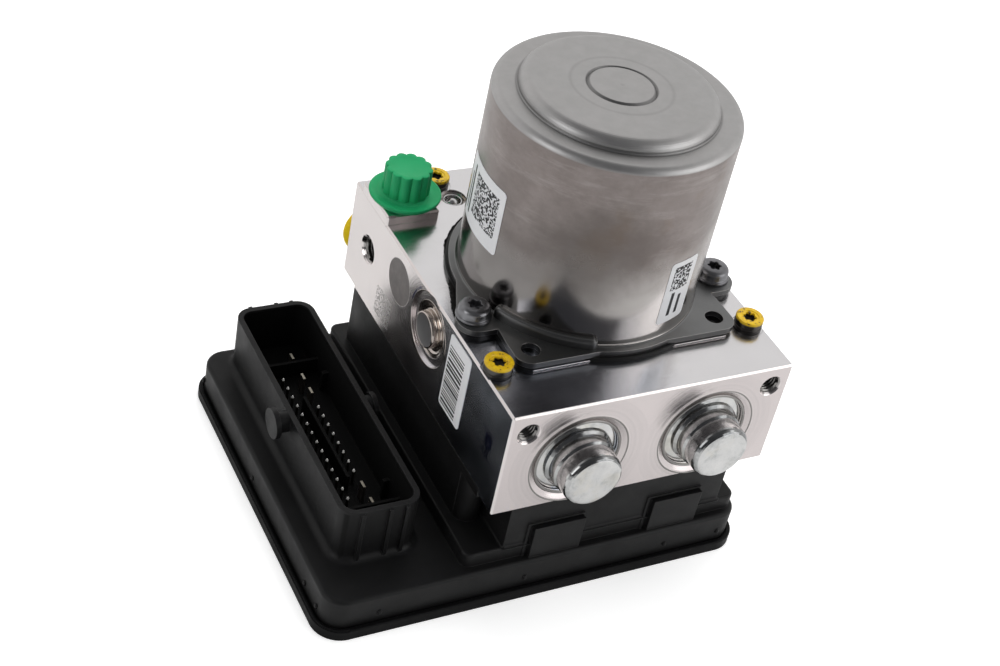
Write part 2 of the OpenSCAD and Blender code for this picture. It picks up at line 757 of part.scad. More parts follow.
module motor_can() {
    color("#9b958a")
    difference() {
        union() {
            rotate_extrude($fn = 128)
                polygon(concat([[can_in, flange_z], [can_r + 2, flange_z], [can_r + 2, flange_top]],
                    arc_points([can_r + foot_round, flange_top + foot_round], foot_round, 270, 180, 3),
                    arc_points([can_r - shoulder_round, shoulder_z - shoulder_round], shoulder_round, 0,
                        90, 8),
                    [[plateau_r + 0.3, shoulder_z - 0.1], [plateau_r, shoulder_z + 0.2]],
                    arc_points([plateau_r - plateau_round, plateau_z - plateau_round], plateau_round, 0,
                        90, 8),
                    [[boss_top_r + 0.8, plateau_z], [boss_top_r + 0.4, plateau_z - 0.4],
                        [boss_top_r, plateau_z - 0.1],
                     [boss_top_r - 0.4, can_top], [0, can_top],
                     [0, can_top - can_t], [upper_bearing_r + 0.1, can_top - can_t],
                     [upper_bearing_r + fit, can_top - can_t - bearing_h],
                         [plateau_r - 4, can_top - can_t - 3],
                     [plateau_r - can_t, shoulder_z - can_t + 0.6], [can_in - 2, shoulder_z - can_t],
                     [can_in, shoulder_z - can_t - 3]]));
            rotate([0, 0, bead_from]) rotate_extrude(angle = bead_angle)
                polygon(concat([[can_r - 0.4, flange_top - 0.3], [can_r + bead_t, flange_top - 0.3]],
                    arc_points([can_r + bead_t - 0.9, flange_top + bead_h - 0.9], 0.9, 0, 90, 4),
                    [[can_r - 0.4, flange_top + bead_h]]));
            translate([0, 0, flange_z]) linear_extrude(flange_t)
                difference() {
                    flange_plan(0);
                    circle(can_in);
                }
        }
        for (p = motor_screws_at)
            translate([p[0], p[1], flange_z - 1]) cylinder(r = motor_screw_r + fit, h = flange_t + 2);
        for (s = [-1, 1])
            translate([s * flange_hole[0], flange_hole[1], top_z - 1])
                cylinder(r = flange_hole_r, h = flange_t + 4);
    }
}

// Points on an arc about c, from angle a0 to a1
function arc_points(c, r, a0, a1, n) =
    [for (i = [0:n]) let (a = a0 + (a1 - a0) * i / n) [c[0] + r * cos(a), c[1] + r * sin(a)]];

module motor_base_plate() {
    color("#141415")
    difference() {
        union() {
            translate([0, 0, top_z]) linear_extrude(base_plate_t) {
                flange_plan(0.6);
                circle(flange_r + 0.8);
            }
            translate([0, 0, top_z]) cylinder(r = can_in - run_gap, h = 9);
        }
        motor_pads(fit, top_z - 1, top_z + motor_pad_h);
        translate([0, 0, top_z - 1]) cylinder(r = lower_bearing_r + fit, h = 12);
        translate([0, 0, top_z + 0.5 + bearing_h]) cylinder(r = lower_bearing_r + 4, h = 12);
        for (p = motor_screws_at)
            translate([p[0], p[1], top_z - 1]) cylinder(r = motor_screw_r + fit, h = 4);
        for (s = [-1, 1]) {
            translate([s * flange_hole[0], flange_hole[1], top_z - 1]) cylinder(r = flange_hole_r, h = 4);
            translate([s * 14 - 3.2, -2.6, top_z + 5]) cube([6.4, 5.2, 8]);
            translate([s * 1.6 - 1.2 - 0.02, terminal_y - 0.42, top_z - 1]) cube([2.44, 0.84, 12]);
        }
    }
}

module motor_screws() {
    color("#5b5d5f")
    for (p = motor_screws_at)
        translate([p[0], p[1], 0]) {
            into_top(0, 0, flange_top + 0.1) cylinder(r = motor_screw_r, h = motor_screw_l + 0.1);
            difference() {
                translate([0, 0, flange_top]) rotate_extrude()
                    polygon([[0, 0], [4.6, 0], [4.9, 0.3], [4.9, 0.9], [4.4, 1.1], [4.4, 2.9],
                        [3.6, 3.8], [0, 3.9]]);
                translate([0, 0, flange_top + 1.6]) linear_extrude(5) key_shape(2.7);
            }
        }
}

module motor_magnets() {
    color("#3c3c40")
    for (a = [0, 180])
        rotate(a) translate([0, 0, core_z - 2]) rotate([0, 0, -62]) rotate_extrude(angle = 124)
            translate([can_in - magnet_t - fit, 0]) square([magnet_t, core_h + 4]);
}

module motor_shaft() {
    color("#b5b5b3")
    union() {
        translate([0, 0, top_z - 3]) cylinder(r = shaft_r, h = can_top - can_t - 0.6 - top_z + 3);
        translate([0, 0, top_z - 3]) cylinder(r = shaft_r + 1.2, h = 3);
        translate([throw, 0, pump_z - ecc_ring_h / 2]) cylinder(r = ecc_r, h = ecc_ring_h);
        translate([0, 0, pump_z + ecc_ring_h / 2 - 0.1]) cylinder(r = shaft_r,
            h = top_z - 3 - pump_z - ecc_ring_h / 2 + 0.2);
        translate([0, 0, top_z - cavity_depth + 2.4]) cylinder(r = shaft_r,
            h = pump_z - ecc_ring_h / 2 - top_z + cavity_depth - 2.3);
    }
}

module armature_core() {
    color("#6e6e70")
    translate([0, 0, core_z]) linear_extrude(core_h)
        difference() {
            circle(core_r);
            circle(shaft_r);
            for (a = [0:30:330])
                rotate(a) {
                    translate([core_r - 9, -1.9]) square([6, 3.8]);
                    translate([core_r - 4, -0.7]) square([6, 1.4]);
                }
        }
}

module armature_winding() {
    color("#a35a2a")
    for (z = [core_z - 5, core_z + core_h])
        translate([0, 0, z]) difference() {
            cylinder(r = core_r - 3.2, h = 5);
            translate([0, 0, -1]) cylinder(r = shaft_r + 2, h = 7);
        }
}

module commutator() {
    color("#b8793f")
    translate([0, 0, top_z + 8]) difference() {
        cylinder(r = commutator_r, h = core_z - 5 - top_z - 8);
        translate([0, 0, -1]) cylinder(r = shaft_r, h = 40);
        for (a = [0:30:330])
            rotate(a) translate([commutator_r - 0.8, -0.25, -1]) cube([2, 0.5, 40]);
    }
}

module motor_brushes() {
    color("#2c2c2c")
    for (s = [-1, 1])
        translate([s < 0 ? -commutator_r - 0.2 - 8 : commutator_r + 0.2, -2.5, top_z + 5 + 3.4])
            cube([8, 5, 4.4]);
}

module ball_bearing(r_out, r_in, z) {
    mid = (r_out + r_in) / 2;
    ball = (r_out - r_in) * 0.26;
    translate([0, 0, z]) {
        difference() {
            cylinder(r = r_out, h = bearing_h);
            translate([0, 0, -1]) cylinder(r = r_out - 1.2, h = bearing_h + 2);
        }
        difference() {
            cylinder(r = r_out - 1.2, h = bearing_h);
            translate([0, 0, -1]) cylinder(r = r_in, h = bearing_h + 2);
            translate([0, 0, bearing_h - 0.5]) ring_cut(r_in + 1, r_out - 1.2, 0.5);
            translate([0, 0, 0.5]) mirror([0, 0, 1]) ring_cut(r_in + 1, r_out - 1.2, 0.5);
        }
    }
}

module upper_bearing() {
    color("#8f9194") ball_bearing(upper_bearing_r, shaft_r + 0.03, can_top - can_t - bearing_h);
}

module lower_bearing() {
    color("#8f9194") ball_bearing(lower_bearing_r, shaft_r + 0.03, lower_bearing_z);
}

module eccentric_ring() {
    color("#9fa1a3")
    translate([throw, 0, pump_z - ecc_ring_h / 2]) difference() {
        cylinder(r = ecc_ring_r, h = ecc_ring_h);
        translate([0, 0, -1]) cylinder(r = ecc_r, h = ecc_ring_h + 2);
    }
}

module motor_terminals() {
    color("#c4c2bc")
    for (s = [-1, 1])
        translate([s * 1.6 - 1.2, terminal_y - 0.4, board_z - 1]) cube([2.4, 0.8, top_z + 9 - board_z + 1]);
}

// Pump

module pump_pistons() {
    color("#a9a9a7")
    for (s = [-1, 1])
        translate([s * pump_piston_x, 0, pump_z]) rotate([0, s * 90, 0]) {
            cylinder(r = pump_piston_r, h = pump_piston_l);
            translate([0, 0, pump_piston_l - 2]) cylinder(r = pump_bore_r - fit, h = 2);
        }
}

module pump_springs() {
    color("#8a8c8e")
    for (s = [-1, 1])
        translate([s * (pump_piston_x + pump_piston_l + 0.1), 0, pump_z]) rotate([0, s * 90, 0])
            coil_spring(3.4, 0.7, block_w / 2 - pump_plug_l - 0.8 - pump_piston_x - pump_piston_l, 5);
}

module pump_plug(side) {
    into_side(side, 0, pump_z) rotate_extrude()
        polygon([[0, -0.3], [5.7, -0.3], [6.1, 0.1], [6.1, 0.7], [8.1, 0.9], [pump_plug_r - 0.6, 0.3],
                 [pump_plug_r - 0.6, pump_plug_l], [pump_bore_r - 0.4, pump_plug_l],
                 [pump_bore_r - 0.4, pump_plug_l + 0.6], [0, pump_plug_l + 0.6]]);
}

module pump_plug_left() { color("#a7a5a1") pump_plug(-1); }
module pump_plug_right() { color("#a7a5a1") pump_plug(1); }

// Accumulators

module acc_piston(side) {
    color("#8d8f92")
    into_front(side * acc_x, acc_z) translate([0, 0, acc_depth - acc_piston_l - 0.5]) difference() {
        cylinder(r = acc_r - 0.05, h = acc_piston_l);
        translate([0, 0, -1]) cylinder(r = spring_r + 1.4, h = 4);
        translate([0, 0, acc_piston_l - 3.6]) ring_cut_out(acc_r - 1.4, acc_r + 1, 2);
    }
}

// Groove round the outside of a piston
module ring_cut_out(r0, r1, h) {
    difference() {
        cylinder(r = r1, h = h);
        translate([0, 0, -1]) cylinder(r = r0, h = h + 2);
    }
}

// Helical spring of round wire, turns counted from the cap's end
module coil_spring(r, wire, length, turns) {
    steps = 18;
    sides = 6;
    n = turns * steps;
    pts = [for (i = [0:n]) for (k = [0:sides - 1])
        let (a = i * 360 / steps, b = k * 360 / sides, rr = r + wire * cos(b))
        [rr * cos(a), rr * sin(a), wire + (length - 2 * wire) * i / n + wire * sin(b)]];
    sides_faces = [for (i = [0:n - 1]) for (k = [0:sides - 1])
        [i * sides + k, (i + 1) * sides + k, (i + 1) * sides + (k + 1) % sides,
            i * sides + (k + 1) % sides]];
    polyhedron(pts, concat([[for (k = [0:sides - 1]) k]], sides_faces,
        [[for (k = [sides - 1:-1:0]) n * sides + k]]), convexity = 10);
}

module acc_spring(side) {
    color("#77797c")
    into_front(side * acc_x, acc_z)
        translate([0, 0, cap_wall - cap_reach + 0.1])
            coil_spring(spring_r, spring_wire_r,
                acc_depth - acc_piston_l - 0.5 + 3 - cap_wall + cap_reach - 0.2, 7);
}

module acc_cap(side) {
    color("#c3c8cc")
    into_front(side * acc_x, acc_z) rotate_extrude()
        polygon(concat([[0, -cap_reach]],
                arc_points([cap_r - cap_round, cap_round - cap_reach], cap_round, 270, 360, 6),
                [[cap_r, -4.2], [cap_r + 0.6, -3.5], [cap_r + 0.7, -0.6], [cap_r + 1.5, 0.2],
                    [cap_r + 1.6, 1.4],
                 [cap_groove_r - 0.2, 1.9], [cap_groove_r - 0.1, cap_groove_depth],
                     [cap_r - cap_wall, cap_groove_depth],
                 [cap_r - cap_wall, 1.8 - cap_reach], [cap_r - cap_wall - 0.4, cap_wall - cap_reach],
                     [0, cap_wall - cap_reach]]));
}

module accumulator_piston_left() { acc_piston(-1); }
module accumulator_piston_right() { acc_piston(1); }
module accumulator_spring_left() { acc_spring(-1); }
module accumulator_spring_right() { acc_spring(1); }
module accumulator_cap_left() { acc_cap(-1); }
module accumulator_cap_right() { acc_cap(1); }

// Seals and transport plugs

module ball_seals() {
    color("#9c9ea0")
    for (s = [-1, 1])
        translate([s * ball_spot[0], ball_spot[1], top_z - ball_seat_depth - ball_r * 0.6])
            sphere(ball_r - 0.02);
}

module damper_plug() {
    color("#7c7976")
    into_side(-1, damper_spot[0], damper_spot[1]) cylinder(r = damper_r - 0.02, h = damper_plug_t);
}

// Push-in plug with a sealing flange and a lobed grip, along +Z out of the port
module port_plug(bore_r, flange_r, grip_r, grip_h, lobes) {
    rotate_extrude()
        polygon([[0, -6], [bore_r - 1, -6], [bore_r - plug_gap, -4.6], [bore_r - plug_gap, 0],
            [flange_r - 1.6, 0],
                 [flange_r - 1, 1.1], [flange_r, 1.9], [flange_r, 2.7], [flange_r - 0.5, 3.1],
                 [grip_r + 0.4, 3.1], [grip_r + 0.4, 3.4], [grip_r - 1.6, 3.6], [0, 3.6]]);
    translate([0, 0, 2.5]) linear_extrude(grip_h - 2.5)
        union() {
            circle(grip_r - 0.9);
            for (a = [0:360 / lobes:359])
                rotate(a) translate([grip_r - 1.3, 0]) circle(1.3, $fn = 24);
        }
}

module inlet_plug(side) {
    color("#1f9d5e")
    translate([side * inlet_spot[0], inlet_spot[1], top_z + port_pad_h])
        port_plug(inlet_r, inlet_flange_r, 7.1, 11.4, 12);
}

module wheel_plug(i) {
    color("#e0b91c")
    translate([wheel_x(i), rear_y, wheel_z]) rotate([-90, 0, 0])
        port_plug(wheel_r, wheel_flange_r, 6, 6.4, 10);
}

module inlet_plug_left() { inlet_plug(-1); }
module inlet_plug_right() { inlet_plug(1); }
module wheel_plug_1() { wheel_plug(0); }
module wheel_plug_2() { wheel_plug(1); }
module wheel_plug_3() { wheel_plug(2); }
module wheel_plug_4() { wheel_plug(3); }

ecu_cover();
ecu_housing();
housing_seal();
connector_pins();
connector_blades();
circuit_board();
board_chips();
solenoid_coils();
valve_cartridges();
valve_block();
housing_screws();
motor_can();
motor_base_plate();
motor_screws();
motor_magnets();
motor_shaft();
armature_core();
armature_winding();
commutator();
motor_brushes();
upper_bearing();
lower_bearing();
eccentric_ring();
motor_terminals();
pump_pistons();
pump_springs();
pump_plug_left();
pump_plug_right();
accumulator_piston_left();
accumulator_piston_right();
accumulator_spring_left();
accumulator_spring_right();
accumulator_cap_left();
accumulator_cap_right();
ball_seals();
damper_plug();
inlet_plug_left();
inlet_plug_right();
wheel_plug_1();
wheel_plug_2();
wheel_plug_3();
wheel_plug_4();
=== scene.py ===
import math
import random

import bmesh
import bpy
from mathutils import Matrix, Vector


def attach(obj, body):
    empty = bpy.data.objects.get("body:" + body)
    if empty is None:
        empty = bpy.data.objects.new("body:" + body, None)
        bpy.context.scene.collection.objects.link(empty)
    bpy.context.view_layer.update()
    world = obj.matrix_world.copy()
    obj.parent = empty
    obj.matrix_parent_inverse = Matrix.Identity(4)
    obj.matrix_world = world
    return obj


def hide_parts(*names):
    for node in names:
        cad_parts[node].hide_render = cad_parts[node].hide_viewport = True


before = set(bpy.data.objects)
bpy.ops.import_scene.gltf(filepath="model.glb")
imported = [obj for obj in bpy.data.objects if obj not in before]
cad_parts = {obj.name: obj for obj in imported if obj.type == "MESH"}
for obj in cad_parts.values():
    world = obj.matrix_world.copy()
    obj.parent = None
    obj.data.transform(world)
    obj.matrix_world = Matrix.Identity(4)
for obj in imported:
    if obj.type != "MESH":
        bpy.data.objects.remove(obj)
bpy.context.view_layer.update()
scene = bpy.context.scene
scene.view_settings.view_transform = "Standard"
mm = 0.001
print("frame loaded:", len(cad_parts), "nodes")


# Camera, at the photo's place and angle

cameraSettings = {
    "place": (-0.2624, -0.3591, 0.3990),
    "forward": (0.4405, 0.6524, -0.6166),
    "right": (0.8851, -0.4303, 0.1771),
    "sensor": 36,
    "lens": 64.31,
    "shift": (-0.0067, -0.0063),
    "clip": (0.01, 20),
}


def addCamera(v):
    back = -Vector(v["forward"]).normalized()
    right = Vector(v["right"])
    right = (right - back * right.dot(back)).normalized()
    up = back.cross(right)
    data = bpy.data.cameras.new("photoCamera")
    data.sensor_width = v["sensor"]
    data.lens = v["lens"]
    data.shift_x, data.shift_y = v["shift"]
    data.clip_start, data.clip_end = v["clip"]
    cam = bpy.data.objects.new("photoCamera", data)
    scene.collection.objects.link(cam)
    turn = Matrix((right, up, back)).transposed().to_4x4()
    cam.matrix_world = Matrix.Translation(Vector(v["place"])) @ turn
    scene.camera = cam


addCamera(cameraSettings)


# Building blocks of the node trees

def addNode(tree, kind, inputs=None, **props):
    # an input is a plain value, or the socket of another node
    node = tree.nodes.new("ShaderNode" + kind)
    for key, value in props.items():
        setattr(node, key, value)
    for key, value in (inputs or {}).items():
        if isinstance(value, bpy.types.NodeSocket):
            tree.links.new(value, node.inputs[key])
        else:
            node.inputs[key].default_value = value
    return node


def joined(kind, inputs, **props):
    # a node in the tree of the sockets that it takes
    tree = next(value.id_data for value in inputs.values() if isinstance(value, bpy.types.NodeSocket))
    return addNode(tree, kind, inputs, **props)


def maths(operation, *values, clamp=False):
    inputs = dict(enumerate(values))
    return joined("Math", inputs, operation=operation, use_clamp=clamp).outputs[0]


def times(result, *others):
    for other in others:
        result = maths("MULTIPLY", result, other)
    return result


def plus(result, *others):
    for other in others:
        result = maths("ADD", result, other)
    return result


def above(value, limit):
    # limit in mm, here and in below
    return maths("GREATER_THAN", value, limit * mm)


def below(value, limit):
    return maths("LESS_THAN", value, limit * mm)


def mapped(source, low, high, toLow=0.0, toHigh=1.0, kind="LINEAR"):
    inputs = {0: source, "From Min": low, "From Max": high, "To Min": toLow, "To Max": toHigh}
    return joined("MapRange", inputs, interpolation_type=kind).outputs[0]


def fade(value, low, high, toLow=0.0, toHigh=1.0):
    # runs from toLow at low to toHigh at high, both places in mm
    return mapped(value, low * mm, high * mm, toLow, toHigh)


def within(value, low, high, soft):
    # 1 between low and high, falling off over soft, all in mm
    return times(fade(value, low - soft, low), fade(value, high, high + soft, 1, 0))


def inBox(a, b, spans):
    return times(within(a, *spans[0]), within(b, *spans[1]))


def blendColour(factor, a, b, mode="MIX"):
    a, b = [(*colour, 1) if isinstance(colour, tuple) else colour for colour in (a, b)]
    inputs = {0: factor, 6: a, 7: b}
    return joined("Mix", inputs, data_type="RGBA", blend_type=mode).outputs[2]


def tinted(base, colour, *masks):
    # colour laid over base, as strongly as the product of the masks
    return blendColour(times(*masks), base, colour)


# Light, floor and surroundings

lightSettings = {
    "overhead": {"place": (0.25, 0.15, 1.0), "aimZ": 0.05, "size": (0.8, 0.6), "power": 5.0},
    "frontLeft": {"place": (-1.0, -0.1, 0.5), "aimZ": 0.06, "size": (0.4, 0.7), "power": 2.0,
                  "mirror": True},
    "frontRight": {"place": (0.75, -0.85, 0.45), "aimZ": 0.08, "size": (0.9, 0.9), "power": 3.5,
                  "mirror": True},
    "rear": {"place": (0.4, 1.0, 0.8), "aimZ": 0.08, "size": (0.9, 0.6), "power": 3.5},
}
# what the metal mirrors: bright behind the module, dim on the camera's side and overhead
worldSettings = {
    "bright": (0.80, 0.79, 0.785), "dim": (0.10, 0.10, 0.105), "zenith": (0.13, 0.13, 0.135),
    "behind": (0.56, 0.83, 0.0), "sideFade": (-0.45, 0.25), "zenithFade": (0.72, 0.95), "diffuse": 0.42,
}
# the glow seen by the camera grows with the distance, where the lamps fade
floorSettings = {"size": 4, "grey": 0.82, "fade": (0.45, 1.4), "glow": (0.50, 1.0), "mirroredGlow": 0.05}


def addLamp(name, v):
    data = bpy.data.lights.new(name, "AREA")
    data.shape = "RECTANGLE"
    data.size, data.size_y = v["size"]
    data.energy = v["power"]
    lamp = bpy.data.objects.new(name, data)
    scene.collection.objects.link(lamp)
    lamp.location = v["place"]
    aim = Vector((0, 0, v["aimZ"])) - Vector(v["place"])
    lamp.rotation_euler = aim.to_track_quat("-Z", "Y").to_euler()
    lamp.visible_glossy = v.get("mirror", False)


def addWorld(v):
    world = bpy.data.worlds.new("studio")
    scene.world = world
    world.use_nodes = True
    tree = world.node_tree
    tree.nodes.clear()
    ray = addNode(tree, "LightPath").outputs
    way = addNode(tree, "TexCoord").outputs["Generated"]
    up = joined("SeparateXYZ", {0: way}).outputs[2]
    behind = joined("VectorMath", {0: way, 1: v["behind"]}, operation="DOT_PRODUCT")
    side = mapped(behind.outputs["Value"], *v["sideFade"], kind="SMOOTHSTEP")
    high = mapped(up, *v["zenithFade"], kind="SMOOTHSTEP")
    dome = tinted(tinted(v["dim"], v["bright"], side), v["zenith"], high)
    mirrored = joined("Background", {"Color": dome, "Strength": 1.0})
    even, white = [addNode(tree, "Background", {"Color": (1, 1, 1, 1), "Strength": strength})
                   for strength in (v["diffuse"], 1.0)]
    lit = joined("MixShader", {0: ray["Is Glossy Ray"], 1: even.outputs[0], 2: mirrored.outputs[0]})
    seen = joined("MixShader", {0: ray["Is Camera Ray"], 1: lit.outputs[0], 2: white.outputs[0]})
    joined("OutputWorld", {0: seen.outputs[0]})


def addFloor(v):
    bm = bmesh.new()
    bmesh.ops.create_grid(bm, x_segments=2, y_segments=2, size=v["size"])
    mesh = bpy.data.meshes.new("studioFloor")
    bm.to_mesh(mesh)
    bm.free()
    floor = bpy.data.objects.new("studioFloor", mesh)
    scene.collection.objects.link(floor)
    mat = bpy.data.materials.new("paleFloor")
    mat.use_nodes = True
    tree = mat.node_tree
    tree.nodes.clear()
    ray = addNode(tree, "LightPath").outputs
    coord = addNode(tree, "TexCoord").outputs["Object"]
    away = joined("VectorMath", {0: coord}, operation="LENGTH").outputs["Value"]
    glow = times(ray["Is Camera Ray"], mapped(away, *v["fade"], *v["glow"]))
    glow = maths("MULTIPLY_ADD", ray["Is Glossy Ray"], v["mirroredGlow"], glow)
    matte = addNode(tree, "BsdfDiffuse", {"Color": (*[v["grey"]] * 3, 1)})
    light = joined("Emission", {"Color": (1, 1, 1, 1), "Strength": glow})
    both = joined("AddShader", {0: matte.outputs[0], 1: light.outputs[0]})
    joined("OutputMaterial", {0: both.outputs[0]})
    mesh.materials.append(mat)


for lampName, lampValues in lightSettings.items():
    addLamp(lampName, lampValues)
addWorld(worldSettings)
addFloor(floorSettings)
print("camera, light and floor set")


# Building blocks of the materials

def newMaterial(name, colour, metallic=0.0, roughness=0.5, specular=0.5):
    mat = bpy.data.materials.new(name)
    mat.use_nodes = True
    shader = mat.node_tree.nodes["Principled BSDF"]
    shader.inputs["Base Color"].default_value = (*colour, 1)
    shader.inputs["Metallic"].default_value = metallic
    shader.inputs["Roughness"].default_value = roughness
    shader.inputs["Specular IOR Level"].default_value = specular
    return mat, mat.node_tree, shader


def feed(shader, colour, rough=None, metallic=None):
    for key, source in (("Base Color", colour), ("Roughness", rough), ("Metallic", metallic)):
        if source:
            shader.id_data.links.new(source, shader.inputs[key])


def placed(tree, shift=(0, 0, 0), scale=(1, 1, 1), turn=(0, 0, 0)):
    coord = addNode(tree, "TexCoord").outputs["Object"]
    inputs = {0: coord, "Location": shift, "Rotation": turn, "Scale": scale}
    return joined("Mapping", inputs).outputs[0]


def position(tree):
    return joined("SeparateXYZ", {0: placed(tree)}).outputs


def normals(tree):
    shape = addNode(tree, "NewGeometry")
    return joined("SeparateXYZ", {0: shape.outputs["True Normal"]}).outputs


def facing(tree):
    # where the surface lies square to each axis, as three masks
    return [maths("GREATER_THAN", maths("ABSOLUTE", part), 0.9) for part in normals(tree)]


def opposite(mask):
    return maths("SUBTRACT", 1.0, mask, clamp=True)


def distance(a, b, centre):
    # from a centre in mm, measured in the plane of two axes
    squares = [maths("POWER", maths("SUBTRACT", value, at * mm), 2)
               for value, at in zip((a, b), centre)]
    return maths("POWER", plus(*squares), 0.5)


def grain(tree, scale, detail, rough=0.6, vector=None):
    inputs = {"Vector": vector or placed(tree), "Scale": scale, "Detail": detail, "Roughness": rough}
    return joined("TexNoise", inputs).outputs["Fac"]


def wobbled(value, amount, *noise):
    # a length in metres made uneven by noise
    return plus(value, times(maths("SUBTRACT", grain(value.id_data, *noise), 0.5), amount))


def turnedGrain(far, scale):
    # uneven circles: noise that runs with the distance from a centre only
    line = joined("CombineXYZ", {0: far}).outputs[0]
    return grain(far.id_data, scale, 4, 0.7, line)


def rings(tree, shift, direction, period, distortion):
    # circles of the cutter about a centre; period in mm
    inputs = {"Vector": placed(tree, shift), "Scale": 0.314 / (period * mm), "Distortion": distortion,
              "Detail": 2.0, "Detail Scale": 1.2}
    wave = joined("TexWave", inputs, wave_type="RINGS", rings_direction=direction)
    return wave.outputs["Fac"]


def grey(low, high, a=0.3, b=0.7):
    return [(a, (low,) * 3), (b, (high,) * 3)]


def stepped(source, stops):
    ramp = joined("ValToRGB", {0: source})
    items = ramp.color_ramp.elements
    while len(items) < len(stops):
        items.new(0.5)
    for item, (at, colour) in zip(items, stops):
        item.position = at
        item.color = (*colour, 1)
    return ramp.outputs[0]


def mottle(tree, scale, detail, stops, rough=0.6, vector=None):
    return stepped(grain(tree, scale, detail, rough, vector), stops)


def patches(tree, scale, detail, low, high, rough=0.6, vector=None):
    # 0 where the noise is under low, 1 where it is over high
    return mottle(tree, scale, detail, grey(0, 1, low, high), rough, vector)


def rounded(tree, radius):
    return addNode(tree, "Bevel", {"Radius": radius * mm}, samples=6).outputs[0]


def relief(shader, heights, edge=0.0):
    # heights: (source, strength, depth in mm); edge: radius in mm of the rounding along edges
    before = {"Normal": rounded(shader.id_data, edge)} if edge else {}
    for source, strength, depth in heights:
        bump = joined("Bump", {"Height": source, "Strength": strength, "Distance": depth * mm, **before})
        before = {"Normal": bump.outputs[0]}
    shader.id_data.links.new(before["Normal"], shader.inputs["Normal"])


def edgeMask(tree, radius, low=0.90, high=0.99):
    # 1 along edges, from how far the rounded normal leans away from the true one
    true = addNode(tree, "NewGeometry").outputs["Normal"]
    lean = joined("VectorMath", {0: rounded(tree, radius), 1: true}, operation="DOT_PRODUCT")
    return mapped(lean.outputs["Value"], high, low)


# Finishes: moulded black of the control unit and the brush holder

# painted shade inside the plug shroud, in mm: spans (from, to, soft edge) of x and y, and its top
shroudShade = {"spans": ((-85.2, -61.8, 0.4), (-38.3, 55.3, 0.4)), "top": 32.6}


def mouldedBlack(name, tint, rough, edge, grit=1.0, specular=0.10, shroud=None):
    mat, tree, shader = newMaterial(name, tint, roughness=rough, specular=specular)
    # lighter edges: edge wear and a painted highlight
    wornEdgeSheen = tinted(tint, (0.030, 0.030, 0.031), edgeMask(tree, edge * 1.2), 0.5)
    dust = mottle(tree, 55, 4, [(0.45, (0, 0, 0)), (0.85, (0.003, 0.003, 0.0032))])
    colour = blendColour(1.0, wornEdgeSheen, dust, "ADD")
    roughness = mottle(tree, 120, 4, grey(rough - 0.07, rough + 0.09))
    if shroud:
        # painted shade down inside the plug shroud, where the surface is also rougher
        x, y, z = position(tree)
        deep = times(inBox(x, y, shroud["spans"]), below(z, shroud["top"]))
        colour = tinted(colour, (0.0012, 0.0012, 0.0012), deep, 0.85)
        roughness = tinted(roughness, (0.7, 0.7, 0.7), deep)
    feed(shader, colour, roughness)
    relief(shader, [(grain(tree, 2600, 2, 0.5), 0.10 * grit, 0.05),
                    (grain(tree, 700, 2, 0.5), 0.05 * grit, 0.08)], edge)
    return mat


# Milled aluminium of the block. Centres and spans in mm; a span is (from, to, soft edge)

blockSettings = {
    "cap": (21.8, 54.4), "capMarks": (12, 21, 7), "seatDip": (15.6, 16.0, 1.5),
    "pump": (0, 64), "pumpMarks": (12, 19, 8), "arcCentre": (-60, 150),
    "frontHole": (41.2, 68.8), "frontHoleRadius": 3.5, "frontHoleWall": (-54.2, -38, 0.1),
    "sideHole": (45.9, 59.6), "sideHoleRadius": 4.5, "sideHoleWall": (-47.1, -30, 0.1),
    "padFoot": ((-38.5, -37.4, 0.1), (75.9, 76.3, 0.05)),
    "etched": ((24.8, 35.5, 0.3), (43.6, 53.6, 0.3)),
    "smudge": ((-46.5, -42, 2.5), (54, 60.5, 2.5)),
    "inkArc": ((12.4, 12.9, 0.3), (3.5, 20, 1.5)), "inkArcFrom": 66,
    "blueReflectionSide": (5, -40, 0.0, 0.8), "blueReflectionTop": (12, -30, 0.0, 0.8), "blueReflectionAhead": (2, -34),
    "base": [(0.25, (0.77, 0.72, 0.71)), (0.75, (0.87, 0.82, 0.81))],
    "colours": {
        "top": (0.80, 0.80, 0.815), "front": (0.69, 0.625, 0.62), "marks": (0.42, 0.40, 0.40),
        "holes": (0.24, 0.235, 0.23), "foot": (0.03, 0.03, 0.03), "scuffs": (0.50, 0.48, 0.48),
        "blueReflectionSide": (0.66, 0.73, 0.84), "blueReflectionTop": (0.73, 0.78, 0.90), "etched": (0.42, 0.41, 0.41),
        "ink": (0.012, 0.02, 0.16),
    },
}


